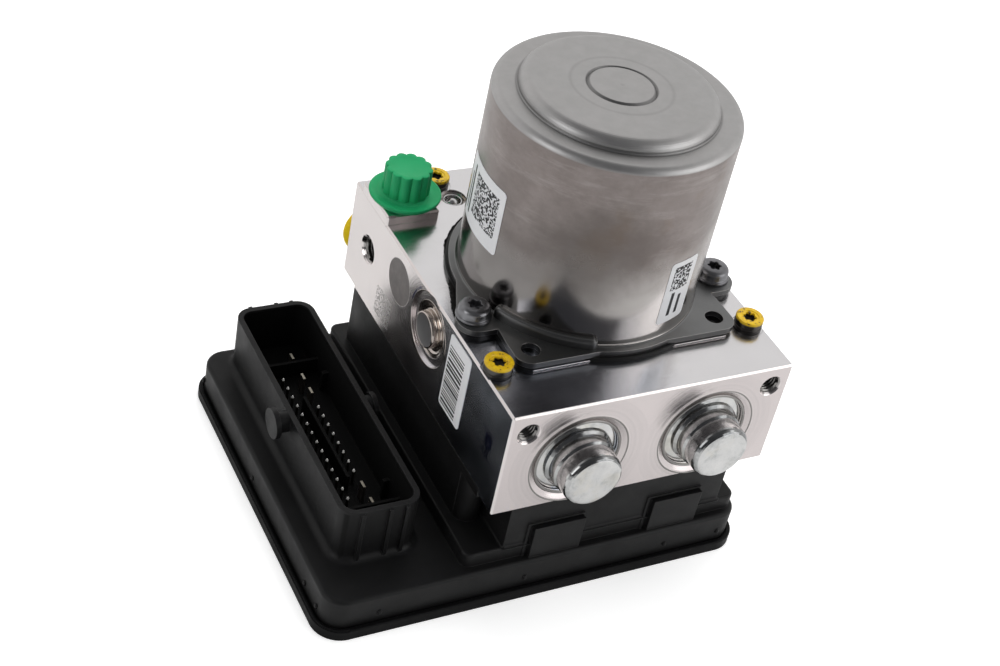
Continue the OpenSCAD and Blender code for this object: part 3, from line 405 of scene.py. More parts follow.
def milledAluminium(v):
    mat, tree, shader = newMaterial("milledAluminium", (0.84, 0.80, 0.79), 1.0, 0.15)
    side, front, top = facing(tree)
    x, y, z = position(tree)
    eitherSide = maths("ABSOLUTE", x)
    frontFace = times(front, below(y, 0))
    leftFace = times(side, below(x, 0))
    fromCap = distance(eitherSide, z, v["cap"])
    fromPump = distance(y, z, v["pump"])

    # cutter lines on each pair of faces, then the rings and arcs left by turning
    lines = plus(times(rings(tree, (-0.03, 0.42, 0), "Z", 0.55, 1.5), top),
                 times(rings(tree, (-0.05, 0, 0.30), "Y", 0.6, 2.0), front),
                 times(rings(tree, (0, -0.22, -0.02), "X", 0.7, 1.2), side, 0.4))
    capRings = times(turnedGrain(fromCap, 1000), within(fromCap, *v["capMarks"]), frontFace)
    seatDip = times(within(fromCap, *v["seatDip"]), frontFace)
    pumpRings = times(turnedGrain(fromPump, 1100), within(fromPump, *v["pumpMarks"]), side)
    arcs = times(turnedGrain(distance(x, y, v["arcCentre"]), 900), top)
    marks = stepped(plus(capRings, pumpRings, times(arcs, 0.5)), grey(0, 1, 0.34, 0.62))

    # painted shade on the walls of the threaded holes, and on the pads' edge under the flange
    frontHoles = below(distance(eitherSide, z, v["frontHole"]), v["frontHoleRadius"])
    sideHoles = below(distance(y, z, v["sideHole"]), v["sideHoleRadius"])
    holes = maths("MAXIMUM", times(frontHoles, within(y, *v["frontHoleWall"])),
                  times(sideHoles, within(x, *v["sideHoleWall"])))
    foot = times(inBox(y, z, v["padFoot"]), front)

    # a matte etched square and blue marker on the left face
    speck = patches(tree, 1500, 1, 0.48, 0.52, 0.4)
    etched = times(inBox(y, z, v["etched"]), leftFace, speck)
    stroke = patches(tree, 190, 4, 0.46, 0.54, 0.6, placed(tree, scale=(1, 1, 0.6)))
    arc = times(inBox(fromPump, y, v["inkArc"]), above(z, v["inkArcFrom"]), 1.5)
    inked = maths("MAXIMUM", inBox(y, z, v["smudge"]), arc)
    inked = maths("MULTIPLY", times(inked, leftFace), stroke, clamp=True)

    # the top and front faces get tones of their own, which are painted light
    layers = [
        ("top", top, 0.8), ("front", front, 0.7), ("marks", marks, 0.26), ("holes", holes, 0.7),
        ("foot", foot), ("scuffs", patches(tree, 260, 6, 0.60, 0.72, 0.7), 0.10),
        # painted reflection: blue tints on the front of the left face and on the top's left front
        ("blueReflectionSide", fade(y, *v["blueReflectionSide"]), leftFace),
        ("blueReflectionTop", fade(x, *v["blueReflectionTop"]), top, fade(y, *v["blueReflectionAhead"])),
        ("etched", etched, 0.45), ("ink", inked, 0.85)]
    base = mottle(tree, 28, 5, v["base"])
    for name, *masks in layers:
        base = tinted(base, v["colours"][name], *masks)
    rough = plus(mottle(tree, 90, 5, grey(0.10, 0.19), 0.65), times(lines, 0.03),
                 times(front, 0.06), times(side, 0.07), times(arcs, 0.10), times(etched, 0.25))
    feed(shader, base, rough)
    swell = grain(tree, 75, 3, 0.5)
    scratch = grain(tree, 420, 3, 0.6, placed(tree, turn=(0.5, 0.3, 0.2), scale=(1, 0.05, 1)))
    nicks = patches(tree, 300, 2, 0.66, 0.70, 0.5, placed(tree, turn=(0.9, 0.2, 0.7), scale=(1, 0.035, 1)))
    relief(shader, [
        (lines, 0.12, 0.012), (capRings, 0.9, 0.10), (seatDip, 0.8, 0.28), (pumpRings, 0.5, 0.08),
        (arcs, 0.35, 0.07), (swell, 0.25, 0.10), (scratch, 0.10, 0.014), (nicks, 0.35, 0.02)], 0.25)
    return mat


# Deep-drawn steel of the motor can. Heights, radii and spans in mm; the stain's place in metres

canSettings = {
    "shoulder": (139.3, 139.8), "footRadius": 37.15, "footTop": 84,
    "footReflection": (112, 92), "shadeHeight": (130, 98), "shadeSide": (4, -20, 0.0, 0.72),
    "scuffed": (114, 137, 12), "stainPlace": (-0.0174, -0.0327, 0.113), "stain": (-50, 9, 14),
    "grooves": ((9.6, 10.5, 0.35), (29.7, 30.0, 0.5)), "outerGrooveTop": 142.2,
    "pressed": (15.0, 15.2, 0.7), "dimple": (-1, 0.35, 0.5),
    "wall": [(0.2, (0.22, 0.188, 0.178)), (0.45, (0.315, 0.278, 0.266)), (0.62, (0.275, 0.242, 0.230)),
             (0.85, (0.375, 0.340, 0.328))],
    "top": [(0.3, (0.47, 0.475, 0.47)), (0.7, (0.53, 0.53, 0.528))],
    "flange": [(0.3, (0.20, 0.203, 0.204)), (0.7, (0.265, 0.268, 0.268))],
    "colours": {
        "patches": (0.20, 0.172, 0.162), "rust": (0.22, 0.155, 0.10), "scuffs": (0.52, 0.485, 0.47),
        "footReflection": (0.66, 0.635, 0.615), "stain": (0.150, 0.128, 0.118), "shade": (0.135, 0.126, 0.121),
        "haze": (0.50, 0.455, 0.445), "grooveShade": (0.09, 0.09, 0.09), "pressed": (0.33, 0.32, 0.32),
        "flangeSideShade": (0.11, 0.11, 0.11), "flangeRimHighlight": (0.60, 0.58, 0.56),
    },
}


def drawnSteel(v):
    mat, tree, shader = newMaterial("drawnSteel", (0.27, 0.25, 0.23), 1.0, 0.25)
    colours = v["colours"]
    x, y, z = position(tree)
    wide = distance(x, y, (0, 0))
    up = fade(z, *v["shoulder"])
    foot = times(above(wide, v["footRadius"]), below(z, v["footTop"]))
    cloud = grain(tree, 45, 6, 0.65)
    fineCloud = grain(tree, 230, 5)

    # the wall: blotches, scuffs that run round its upper part, a painted reflection that brightens its
    # foot, the broad stain at the front, painted shade on its left
    wavy = wobbled(z, 0.04, 26, 4)
    # painted reflection: the foot of the wall made brighter
    low = fade(wavy, *v["footReflection"])
    blotches = patches(tree, 24, 6, 0.46, 0.62, 0.7, placed(tree, (0.3, 0.1, 0.2), (1, 1, 1.6)))
    rust = patches(tree, 38, 4, 0.58, 0.72, 0.6, placed(tree, (0.11, 0.2, 0.05)))
    scuffs = patches(tree, 28, 6, 0.52, 0.72, 0.75, placed(tree, (0.02, 0.05, 0.01), (1, 1, 7)))
    spot = joined("VectorMath", {0: placed(tree), 1: v["stainPlace"]}, operation="DISTANCE")
    reach = wobbled(spot.outputs["Value"], 0.035, 60, 5, 0.65)
    wall = stepped(cloud, v["wall"])
    for name, *masks in (
            ("patches", blotches, 0.6), ("rust", rust, 0.65),
            ("scuffs", scuffs, within(z, *v["scuffed"]), 0.4), ("footReflection", low, 0.75),
            ("stain", within(reach, *v["stain"]), 0.62),
            ("shade", fade(x, *v["shadeSide"]), fade(wavy, *v["shadeHeight"]))):
        wall = tinted(wall, colours[name], *masks)

    # the top: haze, painted shade in its grooves, the pressed ring and the dimple
    inner, outer = [within(wide, *groove) for groove in v["grooves"]]
    outer = times(outer, below(z, v["outerGrooveTop"]), 0.45)
    grooveShade = maths("MAXIMUM", times(inner, 0.6), outer)
    pressed = plus(within(wide, *v["pressed"]), within(wide, *v["dimple"]))
    top = stepped(fineCloud, v["top"])
    top = tinted(top, colours["haze"], grain(tree, 30, 5, 0.65), 0.35)
    top = tinted(top, colours["grooveShade"], grooveShade)
    top = tinted(top, colours["pressed"], pressed, 0.3)

    flange = stepped(cloud, v["flange"])
    # painted shade on the flange's sides and underside, painted highlight along its edges
    flange = tinted(flange, colours["flangeSideShade"], opposite(facing(tree)[2]))
    flange = tinted(flange, colours["flangeRimHighlight"], edgeMask(tree, 0.3, 0.88, 0.97), 0.6)
    colour = tinted(tinted(wall, top, up), flange, foot)
    rough = stepped(fineCloud, grey(0.29, 0.38))
    for level, mask in ((0.15, low), (0.43, up), (0.41, foot)):
        rough = tinted(rough, (level,) * 3, mask)
    feed(shader, colour, rough)
    drawn = grain(tree, 500, 3, 0.6, placed(tree, scale=(1, 1, 0.06)))
    sunk = times(pressed, -1.0)
    relief(shader, [(drawn, 0.08, 0.03), (fineCloud, 0.10, 0.05), (sunk, 0.25, 0.05)], 0.2)
    return mat


# Metals of the smaller pieces

def plated(name, colour, rough, spread=0.08, tint=None, scale=160, edge=0.15, metallic=1.0):
    mat, tree, shader = newMaterial(name, colour, metallic, rough)
    other = tint or tuple(c * 0.82 for c in colour)
    feed(shader, mottle(tree, scale, 5, [(0.35, other), (0.65, colour)]),
         mottle(tree, scale * 2.2, 4, grey(max(0.04, rough - spread), rough + spread)))
    relief(shader, [(grain(tree, scale * 6, 3), 0.08, 0.03)], edge)
    return mat


def copperWire(colour=(0.62, 0.25, 0.10), rough=0.35):
    # fine turned circles about the shaft
    mat, tree, shader = newMaterial("copperWire", colour, 1.0, rough)
    cut = rings(tree, (0, 0, 0), "Z", 0.6, 0.2)
    cloud = grain(tree, 240, 4)
    feed(shader, stepped(cloud, [(0.3, tuple(c * 0.86 for c in colour)), (0.7, colour)]),
         plus(stepped(cloud, grey(rough - 0.04, rough + 0.08)), times(cut, 0.05)))
    relief(shader, [(cut, 0.25, 0.012)], 0.15)
    return mat


def pumpMetal(coreRadius=5.25, coreFrom=48.5):
    # bright turned steps with a matte centre
    mat, tree, shader = newMaterial("pumpMetal", (0.70, 0.64, 0.59), 1.0, 0.15)
    x, y, z = position(tree)
    far = distance(y, z, blockSettings["pump"])
    core = times(below(far, coreRadius), above(maths("ABSOLUTE", x), coreFrom))
    cloud = mottle(tree, 260, 4, [(0.3, (0.46, 0.41, 0.37)), (0.7, (0.60, 0.54, 0.495))])
    rough = stepped(turnedGrain(far, 1400), grey(0.11, 0.22))
    feed(shader, tinted(cloud, (0.235, 0.232, 0.235), core), tinted(rough, (0.44, 0.44, 0.44), core))
    relief(shader, [(turnedGrain(far, 1800), 0.15, 0.05)], 0.12)
    return mat


def contactPinMetal(tipHighlightFade=(20.9, 21.5)):
    # painted highlight on the tinned tips, painted shade on the shanks
    mat, tree, shader = newMaterial("contactPinMetal", (0.9, 0.88, 0.78), 0.5, 0.3)
    tip = fade(position(tree)[2], *tipHighlightFade)
    shank = mottle(tree, 300, 3, [(0.3, (0.05, 0.045, 0.035)), (0.7, (0.09, 0.085, 0.07))])
    feed(shader, tinted(shank, (1.0, 0.99, 0.95), tip), None, maths("SUBTRACT", 0.9, times(tip, 0.8)))
    return mat


def zincPlate():
    # bright zinc, blotched and tarnished, with painted reflections on the side and the shoulder
    mat, tree, shader = newMaterial("zincPlate", (0.71, 0.70, 0.685), 1.0, 0.12)
    lean = normals(tree)
    around = opposite(facing(tree)[1])
    blotch = mottle(tree, 150, 6, [(0.36, (0.50, 0.51, 0.51)), (0.48, (0.67, 0.67, 0.665)),
                                   (0.66, (0.75, 0.745, 0.735))], 0.7)
    tarnish = patches(tree, 90, 4, 0.50, 0.68, 0.6, placed(tree, (0.3, 0.1, 0.4)))
    colour = tinted(blotch, (0.66, 0.62, 0.52), tarnish, 0.5)
    # painted reflection: the side is darker and patchier than the end, with a painted dark reflection band
    # along the upper shoulder
    side = mottle(tree, 170, 6, [(0.42, (0.10, 0.11, 0.12)), (0.60, (0.56, 0.57, 0.56))], 0.75,
                  placed(tree, scale=(1, 0.6, 1)))
    shoulder = times(maths("GREATER_THAN", lean[2], 0.25), maths("LESS_THAN", lean[1], -0.25))
    colour = tinted(colour, side, around, 0.48)
    colour = tinted(colour, (0.08, 0.085, 0.09), shoulder, around, 0.5)
    feed(shader, colour, mottle(tree, 330, 5, grey(0.07, 0.21), 0.65))
    relief(shader, [(grain(tree, 260, 4), 0.20, 0.05), (grain(tree, 900, 3), 0.08, 0.03)], 0.15)
    return mat


def paintedScrewMetal(paintFade=(78.6, 79.0)):
    # yellow paint on the top of the head, worn at its edges, dark metal below
    mat, tree, shader = newMaterial("yellowPaintedSteel", (0.75, 0.48, 0.02), 0.0, 0.4)
    topFace = fade(position(tree)[2], *paintFade)
    paint = times(topFace, patches(tree, 700, 3, 0.37, 0.41))
    yellow = mottle(tree, 700, 3, [(0.3, (0.62, 0.36, 0.004)), (0.7, (0.84, 0.57, 0.006))])
    feed(shader, tinted((0.10, 0.095, 0.09), yellow, paint),
         mottle(tree, 500, 3, grey(0.28, 0.45)), maths("SUBTRACT", 1.0, paint))
    relief(shader, [(paint, 0.3, 0.05), (grain(tree, 1500, 3), 0.1, 0.03)], 0.1)
    return mat


# Plastics, rubber and labels

def softPlastic(name, colour, shade, rough):
    mat, tree, shader = newMaterial(name, colour, roughness=rough, specular=0.18)
    feed(shader, mottle(tree, 90, 4, [(0.3, shade), (0.7, colour)]),
         mottle(tree, 400, 3, grey(rough - 0.05, rough + 0.09)))
    shader.inputs["Subsurface Weight"].default_value = 0.12
    shader.inputs["Subsurface Radius"].default_value = (0.001, 0.001, 0.0008)
    shader.inputs["Subsurface Scale"].default_value = 0.6
    relief(shader, [(grain(tree, 1800, 3, 0.55), 0.10, 0.04)], 0.3)
    return mat


def labelPaper():
    mat, tree, shader = newMaterial("labelPaper", (0.86, 0.86, 0.88), roughness=0.42, specular=0.4)
    feed(shader, mottle(tree, 60, 4, [(0.3, (0.80, 0.805, 0.83)), (0.7, (0.88, 0.88, 0.895))]),
         mottle(tree, 300, 3, grey(0.36, 0.48)))
    relief(shader, [(grain(tree, 1200, 3), 0.06, 0.02)])
    return mat


def labelInk(name, speckled):
    # a plain dark field, or one broken up by random specks
    mat, tree, shader = newMaterial(name, (0.02, 0.02, 0.022), roughness=0.5, specular=0.3)
    dark = mottle(tree, 900, 3, [(0.3, (0.012, 0.012, 0.014)), (0.8, (0.035, 0.035, 0.038))])
    if speckled:
        dark = tinted(dark, (0.76, 0.765, 0.785), patches(tree, 1500, 0, 0.50, 0.53, 0.5))
    feed(shader, dark, mottle(tree, 300, 3, grey(0.44, 0.56)))
    return mat


finishes = {
    "milledAluminium": milledAluminium(blockSettings),
    "drawnSteel": drawnSteel(canSettings),
    "yellowPaintedSteel": paintedScrewMetal(),
    "zincPlate": zincPlate(),
    "pumpMetal": pumpMetal(),
    "contactPinMetal": contactPinMetal(),
    "copperWire": copperWire(),
    "labelPaper": labelPaper(),
}
finishRows = {
    # tint, roughness, edge rounding in mm, grit, specular, painted shade inside
    mouldedBlack: [
        ("blackHousing", (0.0072, 0.0072, 0.0075), 0.45, 0.35, 1.0, 0.25, shroudShade),
        ("blackCover", (0.0040, 0.0040, 0.0044), 0.44, 0.3, 1.0, 0.11),
        ("brushHolderBlack", (0.004, 0.004, 0.004), 0.38, 0.12, 1.0, 0.35),
        ("sealBlack", (0.0035, 0.003, 0.0028), 0.6, 0.15, 0.3, 0.10),
        ("chipBlack", (0.02, 0.02, 0.022), 0.4, 0.1)],
    # colour, roughness, its spread, second tint, scale of the grain, edge rounding in mm, metallic
    plated: [
        ("darkScrewSteel", (0.27, 0.27, 0.282), 0.33, 0.06, (0.19, 0.19, 0.20)),
        ("damperGrey", (0.205, 0.188, 0.182), 0.55, 0.06, None, 300, 0.15, 0.35),
        ("contactTin", (0.50, 0.47, 0.40), 0.34, 0.05),
        ("brightSteel", (0.66, 0.66, 0.66), 0.2, 0.06),
        ("springSteel", (0.32, 0.33, 0.34), 0.3, 0.06),
        ("coreSteel", (0.25, 0.25, 0.26), 0.42, 0.08),
        ("magnetGrey", (0.07, 0.07, 0.075), 0.6, 0.1, None, 200, 0.2, 0.3),
        ("carbonBlock", (0.03, 0.03, 0.03), 0.6, 0.1, None, 300, 0.2, 0.1),
        ("coilBlack", (0.05, 0.05, 0.055), 0.45, 0.08, None, 200, 0.2, 0.2),
        ("threadMetal", (0.30, 0.29, 0.28), 0.24, 0.05)],
    # colour, darker colour, roughness
    softPlastic: [
        ("portGreen", (0.020, 0.385, 0.148), (0.014, 0.335, 0.120), 0.42),
        ("portYellow", (0.90, 0.66, 0.012), (0.82, 0.56, 0.008), 0.40),
        ("boardGreen", (0.012, 0.11, 0.04), (0.01, 0.08, 0.03), 0.3),
        ("sealRubber", (0.12, 0.035, 0.02), (0.09, 0.025, 0.015), 0.55)],
    # speckled or not
    labelInk: [("labelBars", False), ("labelField", True)],
}
for makeFinish, rows in finishRows.items():
    for finishName, *finishValues in rows:
        finishes[finishName] = makeFinish(finishName, *finishValues)
print("finishes made:", len(finishes))

nodeFinish = {
    "blackCover": ["ecu_cover"],
    "blackHousing": ["ecu_housing"],
    "sealRubber": ["housing_seal"],
    "contactPinMetal": ["connector_pins"],
    "contactTin": ["connector_blades", "motor_terminals"],
    "boardGreen": ["circuit_board"],
    "chipBlack": ["board_chips"],
    "coilBlack": ["solenoid_coils"],
    "brightSteel": ["valve_cartridges", "motor_shaft", "upper_bearing", "lower_bearing", "eccentric_ring",
                    "pump_pistons", "accumulator_piston_left", "accumulator_piston_right", "ball_seals"],
    "milledAluminium": ["valve_block"],
    "yellowPaintedSteel": ["housing_screws"],
    "drawnSteel": ["motor_can"],
    "brushHolderBlack": ["motor_base_plate"],
    "darkScrewSteel": ["motor_screws"],
    "magnetGrey": ["motor_magnets"],
    "coreSteel": ["armature_core"],
    "copperWire": ["armature_winding", "commutator"],
    "carbonBlock": ["motor_brushes"],
    "springSteel": ["pump_springs", "accumulator_spring_left", "accumulator_spring_right"],
    "pumpMetal": ["pump_plug_left", "pump_plug_right"],
    "zincPlate": ["accumulator_cap_left", "accumulator_cap_right"],
    "damperGrey": ["damper_plug"],
    "portGreen": ["inlet_plug_left", "inlet_plug_right"],
    "portYellow": ["wheel_plug_1", "wheel_plug_2", "wheel_plug_3", "wheel_plug_4"],
}
for finishName, nodeNames in nodeFinish.items():
    for nodeName in nodeNames:
        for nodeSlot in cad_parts[nodeName].material_slots:
            nodeSlot.material = finishes[finishName]
print("node finishes set:", sum(len(nodeNames) for nodeNames in nodeFinish.values()))


# Building blocks of the new pieces

def addPiece(name, bm, finish, smooth=35, body="module"):
    bmesh.ops.recalc_face_normals(bm, faces=bm.faces)
    mesh = bpy.data.meshes.new(name)
    bm.to_mesh(mesh)
    bm.free()
    mesh.materials.append(finishes[finish])
    for face in mesh.polygons:
        face.use_smooth = True
    mesh.set_sharp_from_angle(angle=math.radians(smooth))
    obj = bpy.data.objects.new(name, mesh)
    scene.collection.objects.link(obj)
    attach(obj, body)
    return obj


def vertsOf(geom):
    return [item for item in geom if isinstance(item, bmesh.types.BMVert)]


def newVerts(bm, before):
    return [vert for vert in bm.verts if vert not in before]


def rimOf(verts):
    return list({edge for vert in verts for edge in vert.link_edges})


def profile(bm, points, closed=False):
    verts = [bm.verts.new((r * mm, 0, z * mm)) for r, z in points]
    pairs = list(zip(verts, verts[1:])) + ([(verts[-1], verts[0])] if closed else [])
    return verts + [bm.edges.new(pair) for pair in pairs]


def extend(bm, edges):
    # a new row of vertices and edges on an open border
    made = bmesh.ops.extrude_edge_only(bm, edges=edges)["geom"]
    return vertsOf(made), [item for item in made if isinstance(item, bmesh.types.BMEdge)]


def toCircle(verts, r, z):
    for vert in verts:
        flat = Vector((vert.co.x, vert.co.y)).normalized() * r * mm
        vert.co = (flat.x, flat.y, z * mm)


def spin(bm, geom, angle=math.tau, steps=96, **more):
    bmesh.ops.spin(bm, geom=geom, cent=(0, 0, 0), axis=(0, 0, 1), angle=angle, steps=steps, **more)


def spinAll(bm, geom):
    spin(bm, geom, use_merge=True)
    bmesh.ops.remove_doubles(bm, verts=bm.verts, dist=1e-7)


def turnVerts(bm, verts, angle, axis="Z"):
    bmesh.ops.rotate(bm, verts=verts, cent=(0, 0, 0), matrix=Matrix.Rotation(angle, 3, axis))


def shift(bm, verts, x, y, z):
    bmesh.ops.translate(bm, verts=verts, vec=(x * mm, y * mm, z * mm))


def addBall(bm, radius, size, segments):
    ball = bmesh.ops.create_uvsphere(bm, u_segments=segments, v_segments=10, radius=radius * mm)["verts"]
    bmesh.ops.scale(bm, verts=ball, vec=size)
    return ball


def standAlong(bm, spot, axis):
    # turns a piece made along +Z so that it points along axis, and puts it in place
    turn = Vector((0, 0, 1)).rotation_difference(Vector(axis)).to_matrix().to_4x4()
    bmesh.ops.transform(bm, matrix=Matrix.Translation(Vector(spot) * mm) @ turn, verts=bm.verts)


def cutAt(bm, spot, normal, clear=False):
    bmesh.ops.bisect_plane(bm, geom=bm.verts[:] + bm.edges[:] + bm.faces[:], dist=1e-7,
                           plane_co=[c * mm for c in spot], plane_no=normal, clear_outer=clear)


# Transport plugs: a push-in shank, a dished flange and a lobed grip

plugSettings = {
    "inlet": {"bore": 5.45, "flange": 11.5, "grip": 7.5, "height": 11.9, "lobes": 12, "flute": 0.95,
              "round": 0.35, "finish": "portGreen", "slot": "green_plastic", "axis": (0, 0, 1),
              "spots": {"inlet_plug_left": (-38.2, 45.2, 79.2), "inlet_plug_right": (38.2, 45.2, 79.2)}},
    "wheel": {"bore": 4.55, "flange": 10.0, "grip": 6.0, "height": 6.4, "lobes": 10, "flute": 0.8,
              "round": 0.45, "finish": "portYellow", "slot": "yellow_plastic", "axis": (0, 1, 0),
              "spots": {"wheel_plug_%d" % (i + 1): (-38.3 + i * 76.6 / 3, 60.9, 54.2) for i in range(4)}},
}
gripFoot = 2.5


def addPlug(node, v, spot):
    bore, flange, grip, tall = v["bore"], v["flange"], v["grip"], v["height"]
    bm = bmesh.new()
    spinAll(bm, profile(bm, [
        (0, -6), (bore - 1.0, -6), (bore - 0.5, -5.6), (bore, -4.6), (bore, -0.4), (bore + 0.3, 0.02),
        (flange - 1.9, 0.05), (flange - 1.3, 0.55), (flange - 0.5, 1.35), (flange - 0.1, 1.9),
        (flange, 2.25), (flange - 0.1, 2.65), (flange - 0.4, 2.85), (flange - 0.9, 2.8),
        (flange - 2.0, 2.55), (grip + 1.0, 2.45), (grip + 0.45, 2.6), (grip + 0.1, 2.95),
        (grip - 1.1, 3.1), (0, 3.1)]))
    ring = bmesh.ops.create_circle(bm, cap_ends=False, segments=v["lobes"] * 14, radius=grip * mm)["verts"]
    for vert in ring:
        turn = math.atan2(vert.co.y, vert.co.x)
        lobe = abs(math.cos(turn * v["lobes"] / 2)) ** 0.75
        reach = (grip - v["flute"] * (1 - lobe)) / grip
        vert.co.x *= reach
        vert.co.y *= reach
    shift(bm, ring, 0, 0, gripFoot)
    edges = rimOf(ring)
    wide, level = grip, gripFoot
    corner = [(v["round"] * (1 - math.cos(a)), tall - v["round"] * (1 - math.sin(a)))
              for a in (0.5, 1.0, math.pi / 2)]
    for inward, top in [(0.0, tall - v["round"])] + corner:
        verts, edges = extend(bm, edges)
        keep = (grip - inward) / wide
        bmesh.ops.scale(bm, verts=verts, vec=(keep, keep, 1))
        shift(bm, verts, 0, 0, top - level)
        wide, level = grip - inward, top
    # the top closes over a shallow round dish
    for size, top in ((grip - 1.9, level), (grip - 2.2, level - 0.12), (0.4, level - 0.16)):
        verts, edges = extend(bm, edges)
        toCircle(verts, size, top)
    bmesh.ops.contextual_create(bm, geom=edges)
    standAlong(bm, spot, v["axis"])
    piece = addPiece(node.replace("_plug", "_plug_body"), bm, v["finish"], 32, node)
    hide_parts(node)


for plugValues in plugSettings.values():
    for nodeName, plugSpot in plugValues["spots"].items():
        addPlug(nodeName, plugValues, plugSpot)
print("transport plugs made")


# Screws with a six-lobe recess

screwSettings = {
    "motor_screws": {
        "spots": [(-41.5, -13.6), (41.5, -13.6), (0, 43.9)], "base": 79.2, "shank": 2.35, "length": 14.5,
        "lobe": 2.35, "waist": 1.72, "deep": 2.2, "finish": "darkScrewSteel", "slot": "screw_steel",
        "head": [(2.75, 4.3), (3.6, 4.25), (4.3, 4.0), (4.7, 3.5), (4.85, 2.9), (4.85, 1.35), (5.0, 1.15),
                 (5.25, 1.05), (5.4, 0.75), (5.4, 0.25), (5.2, 0.02)]},
    "housing_screws": {
        "spots": [(-43, -34.5), (43, -34.5), (-23, 54.1), (23, 54.1)], "base": 75.7, "shank": 2.15,
        "length": 53.5, "lobe": 2.3, "waist": 1.72, "deep": 1.5, "finish": "yellowPaintedSteel",
        "slot": "yellow_zinc",
        "head": [(2.6, 3.75), (2.85, 4.0), (3.75, 4.05), (4.15, 3.95), (4.35, 3.65), (4.35, 2.0),
                 (4.1, 1.8), (4.1, 1.35), (4.4, 1.15), (4.4, 0.3), (4.2, 0.02)]},
}


def lobedRadius(v, turn):
    wave = (math.cos(turn * 6) + 1) / 2
    return v["waist"] + (v["lobe"] - v["waist"]) * wave ** 0.8


def addScrews(node, v):
    bm = bmesh.new()
    crown = v["base"] + v["head"][0][1]
    shank, tip = v["shank"], -v["length"]
    for x, y in v["spots"]:
        before = set(bm.verts)
        ring = bmesh.ops.create_circle(bm, cap_ends=False, segments=72, radius=v["lobe"] * mm)["verts"]
        for vert in ring:
            reach = lobedRadius(v, math.atan2(vert.co.y, vert.co.x)) / v["lobe"]
            vert.co = (vert.co.x * reach, vert.co.y * reach, crown * mm)
        rim = rimOf(ring)
        # outwards over the head and down the shank
        edges = rim
        for r, z in v["head"] + [(shank, 0.0), (shank, tip + 0.8), (shank - 0.7, tip), (0.3, tip)]:
            verts, edges = extend(bm, edges)
            toCircle(verts, r, v["base"] + z)
        bmesh.ops.contextual_create(bm, geom=edges)
        # down into the recess
        edges = rim
        deep = v["deep"]
        for keep, drop in ((0.94, 0.25), (0.92, deep), (0.35, deep + 0.35), (0.06, deep + 0.45)):
            verts, edges = extend(bm, edges)
            for vert in verts:
                turn = math.atan2(vert.co.y, vert.co.x)
                r = lobedRadius(v, turn) * keep
                vert.co = (r * math.cos(turn) * mm, r * math.sin(turn) * mm, (crown - drop) * mm)
        bmesh.ops.contextual_create(bm, geom=edges)
        fresh = newVerts(bm, before)
        # each screw stands at a turn of its own
        turnVerts(bm, fresh, math.radians(11 + 17 * x % 40))
        shift(bm, fresh, x, y, 0)
    piece = addPiece(node + "_heads", bm, v["finish"], 40)
    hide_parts(node)


for nodeName, screwValues in screwSettings.items():
    addScrews(nodeName, screwValues)
print("screws made")


# Rounded bead pressed into the foot of the can; angles and the taper of its ends in degrees

beadSettings = {"from": -158.5, "angle": 51, "inner": 36.7, "bottom": 79.1, "width": 2.4, "height": 3.5,
                "straight": 2.0, "round": 1.3, "taper": 3.4, "thin": 0.05, "steps": 60}


def addBead(v):
    bm = bmesh.new()
    w, h, bend = v["width"], v["height"], v["round"]
    shoulder = [(w - bend + bend * math.cos(a), h - bend + bend * math.sin(a))
                for a in (0.2, 0.6, 1.0, 1.35, 1.6)]
    shape = [(0, 0), (w, 0), (w, v["straight"])] + shoulder + [(0, h)]
    end = profile(bm, [(v["inner"] + r, v["bottom"] + z) for r, z in shape], True)
    turnVerts(bm, vertsOf(end), math.radians(v["from"]))
    spin(bm, end, math.radians(v["angle"]), v["steps"])
    bmesh.ops.holes_fill(bm, edges=bm.edges, sides=len(shape))
    # both ends taper off in a round
    inner, bottom = v["inner"] * mm, v["bottom"] * mm
    for vert in bm.verts:
        turn = math.degrees(math.atan2(vert.co.y, vert.co.x))
        away = min(turn - v["from"], v["from"] + v["angle"] - turn)
        keep = max(math.sqrt(max(0.0, 1 - (1 - min(away / v["taper"], 1.0)) ** 2)), v["thin"])
        far = math.hypot(vert.co.x, vert.co.y)
        slim = (inner + (far - inner) * keep) / far
        vert.co.x *= slim
        vert.co.y *= slim
        vert.co.z = bottom + (vert.co.z - bottom) * keep
    addPiece("can_foot_bead", bm, "drawnSteel", 50)


addBead(beadSettings)


# Turned rings: the pressed sleeves round the ball seals, and the rings round the accumulator caps

sleeveSettings = {
    "spots": [(-20.2, 46.0, 0), (20.2, 46.0, 0)], "tilt": 0, "steps": 64, "finish": "brightSteel",
    "slot": "steel", "smooth": 35,
    "profiles": [[(2.52, 73.2), (2.52, 74.9), (2.7, 75.15), (3.0, 75.2), (3.25, 75.0), (3.35, 74.55),
                  (4.25, 74.45), (4.25, 73.2)]]}
capRingSettings = {
    "spots": [(-21.8, -54.6, 54.4), (21.8, -54.6, 54.4)], "tilt": 90, "steps": 96,
    "finish": "threadMetal", "slot": "machined_aluminium", "smooth": 50,
    "profiles": [
        [(16.0, -0.08), (16.08, 0.07), (16.25, 0.12), (16.42, 0.07), (16.5, -0.08)],
        [(13.45, -1.5), (13.45, -0.62), (13.6, -0.5), (13.85, -0.52), (14.2, -0.75), (14.2, -1.5)]]}


def addRings(name, v):
    bm = bmesh.new()
    for spot in v["spots"]:
        for points in v["profiles"]:
            before = set(bm.verts)
            spin(bm, profile(bm, points, True), math.tau, v["steps"], use_merge=True)
            fresh = newVerts(bm, before)
            turnVerts(bm, fresh, math.radians(v["tilt"]), "X")
            shift(bm, fresh, *spot)
    bmesh.ops.remove_doubles(bm, verts=bm.verts, dist=1e-7)
    addPiece(name, bm, v["finish"], v["smooth"])


addRings("ball_seal_sleeves", sleeveSettings)
print("bead and sleeves made")


# Pump end plugs: a raised centre in a turned recess, with a fine ring on the block round it

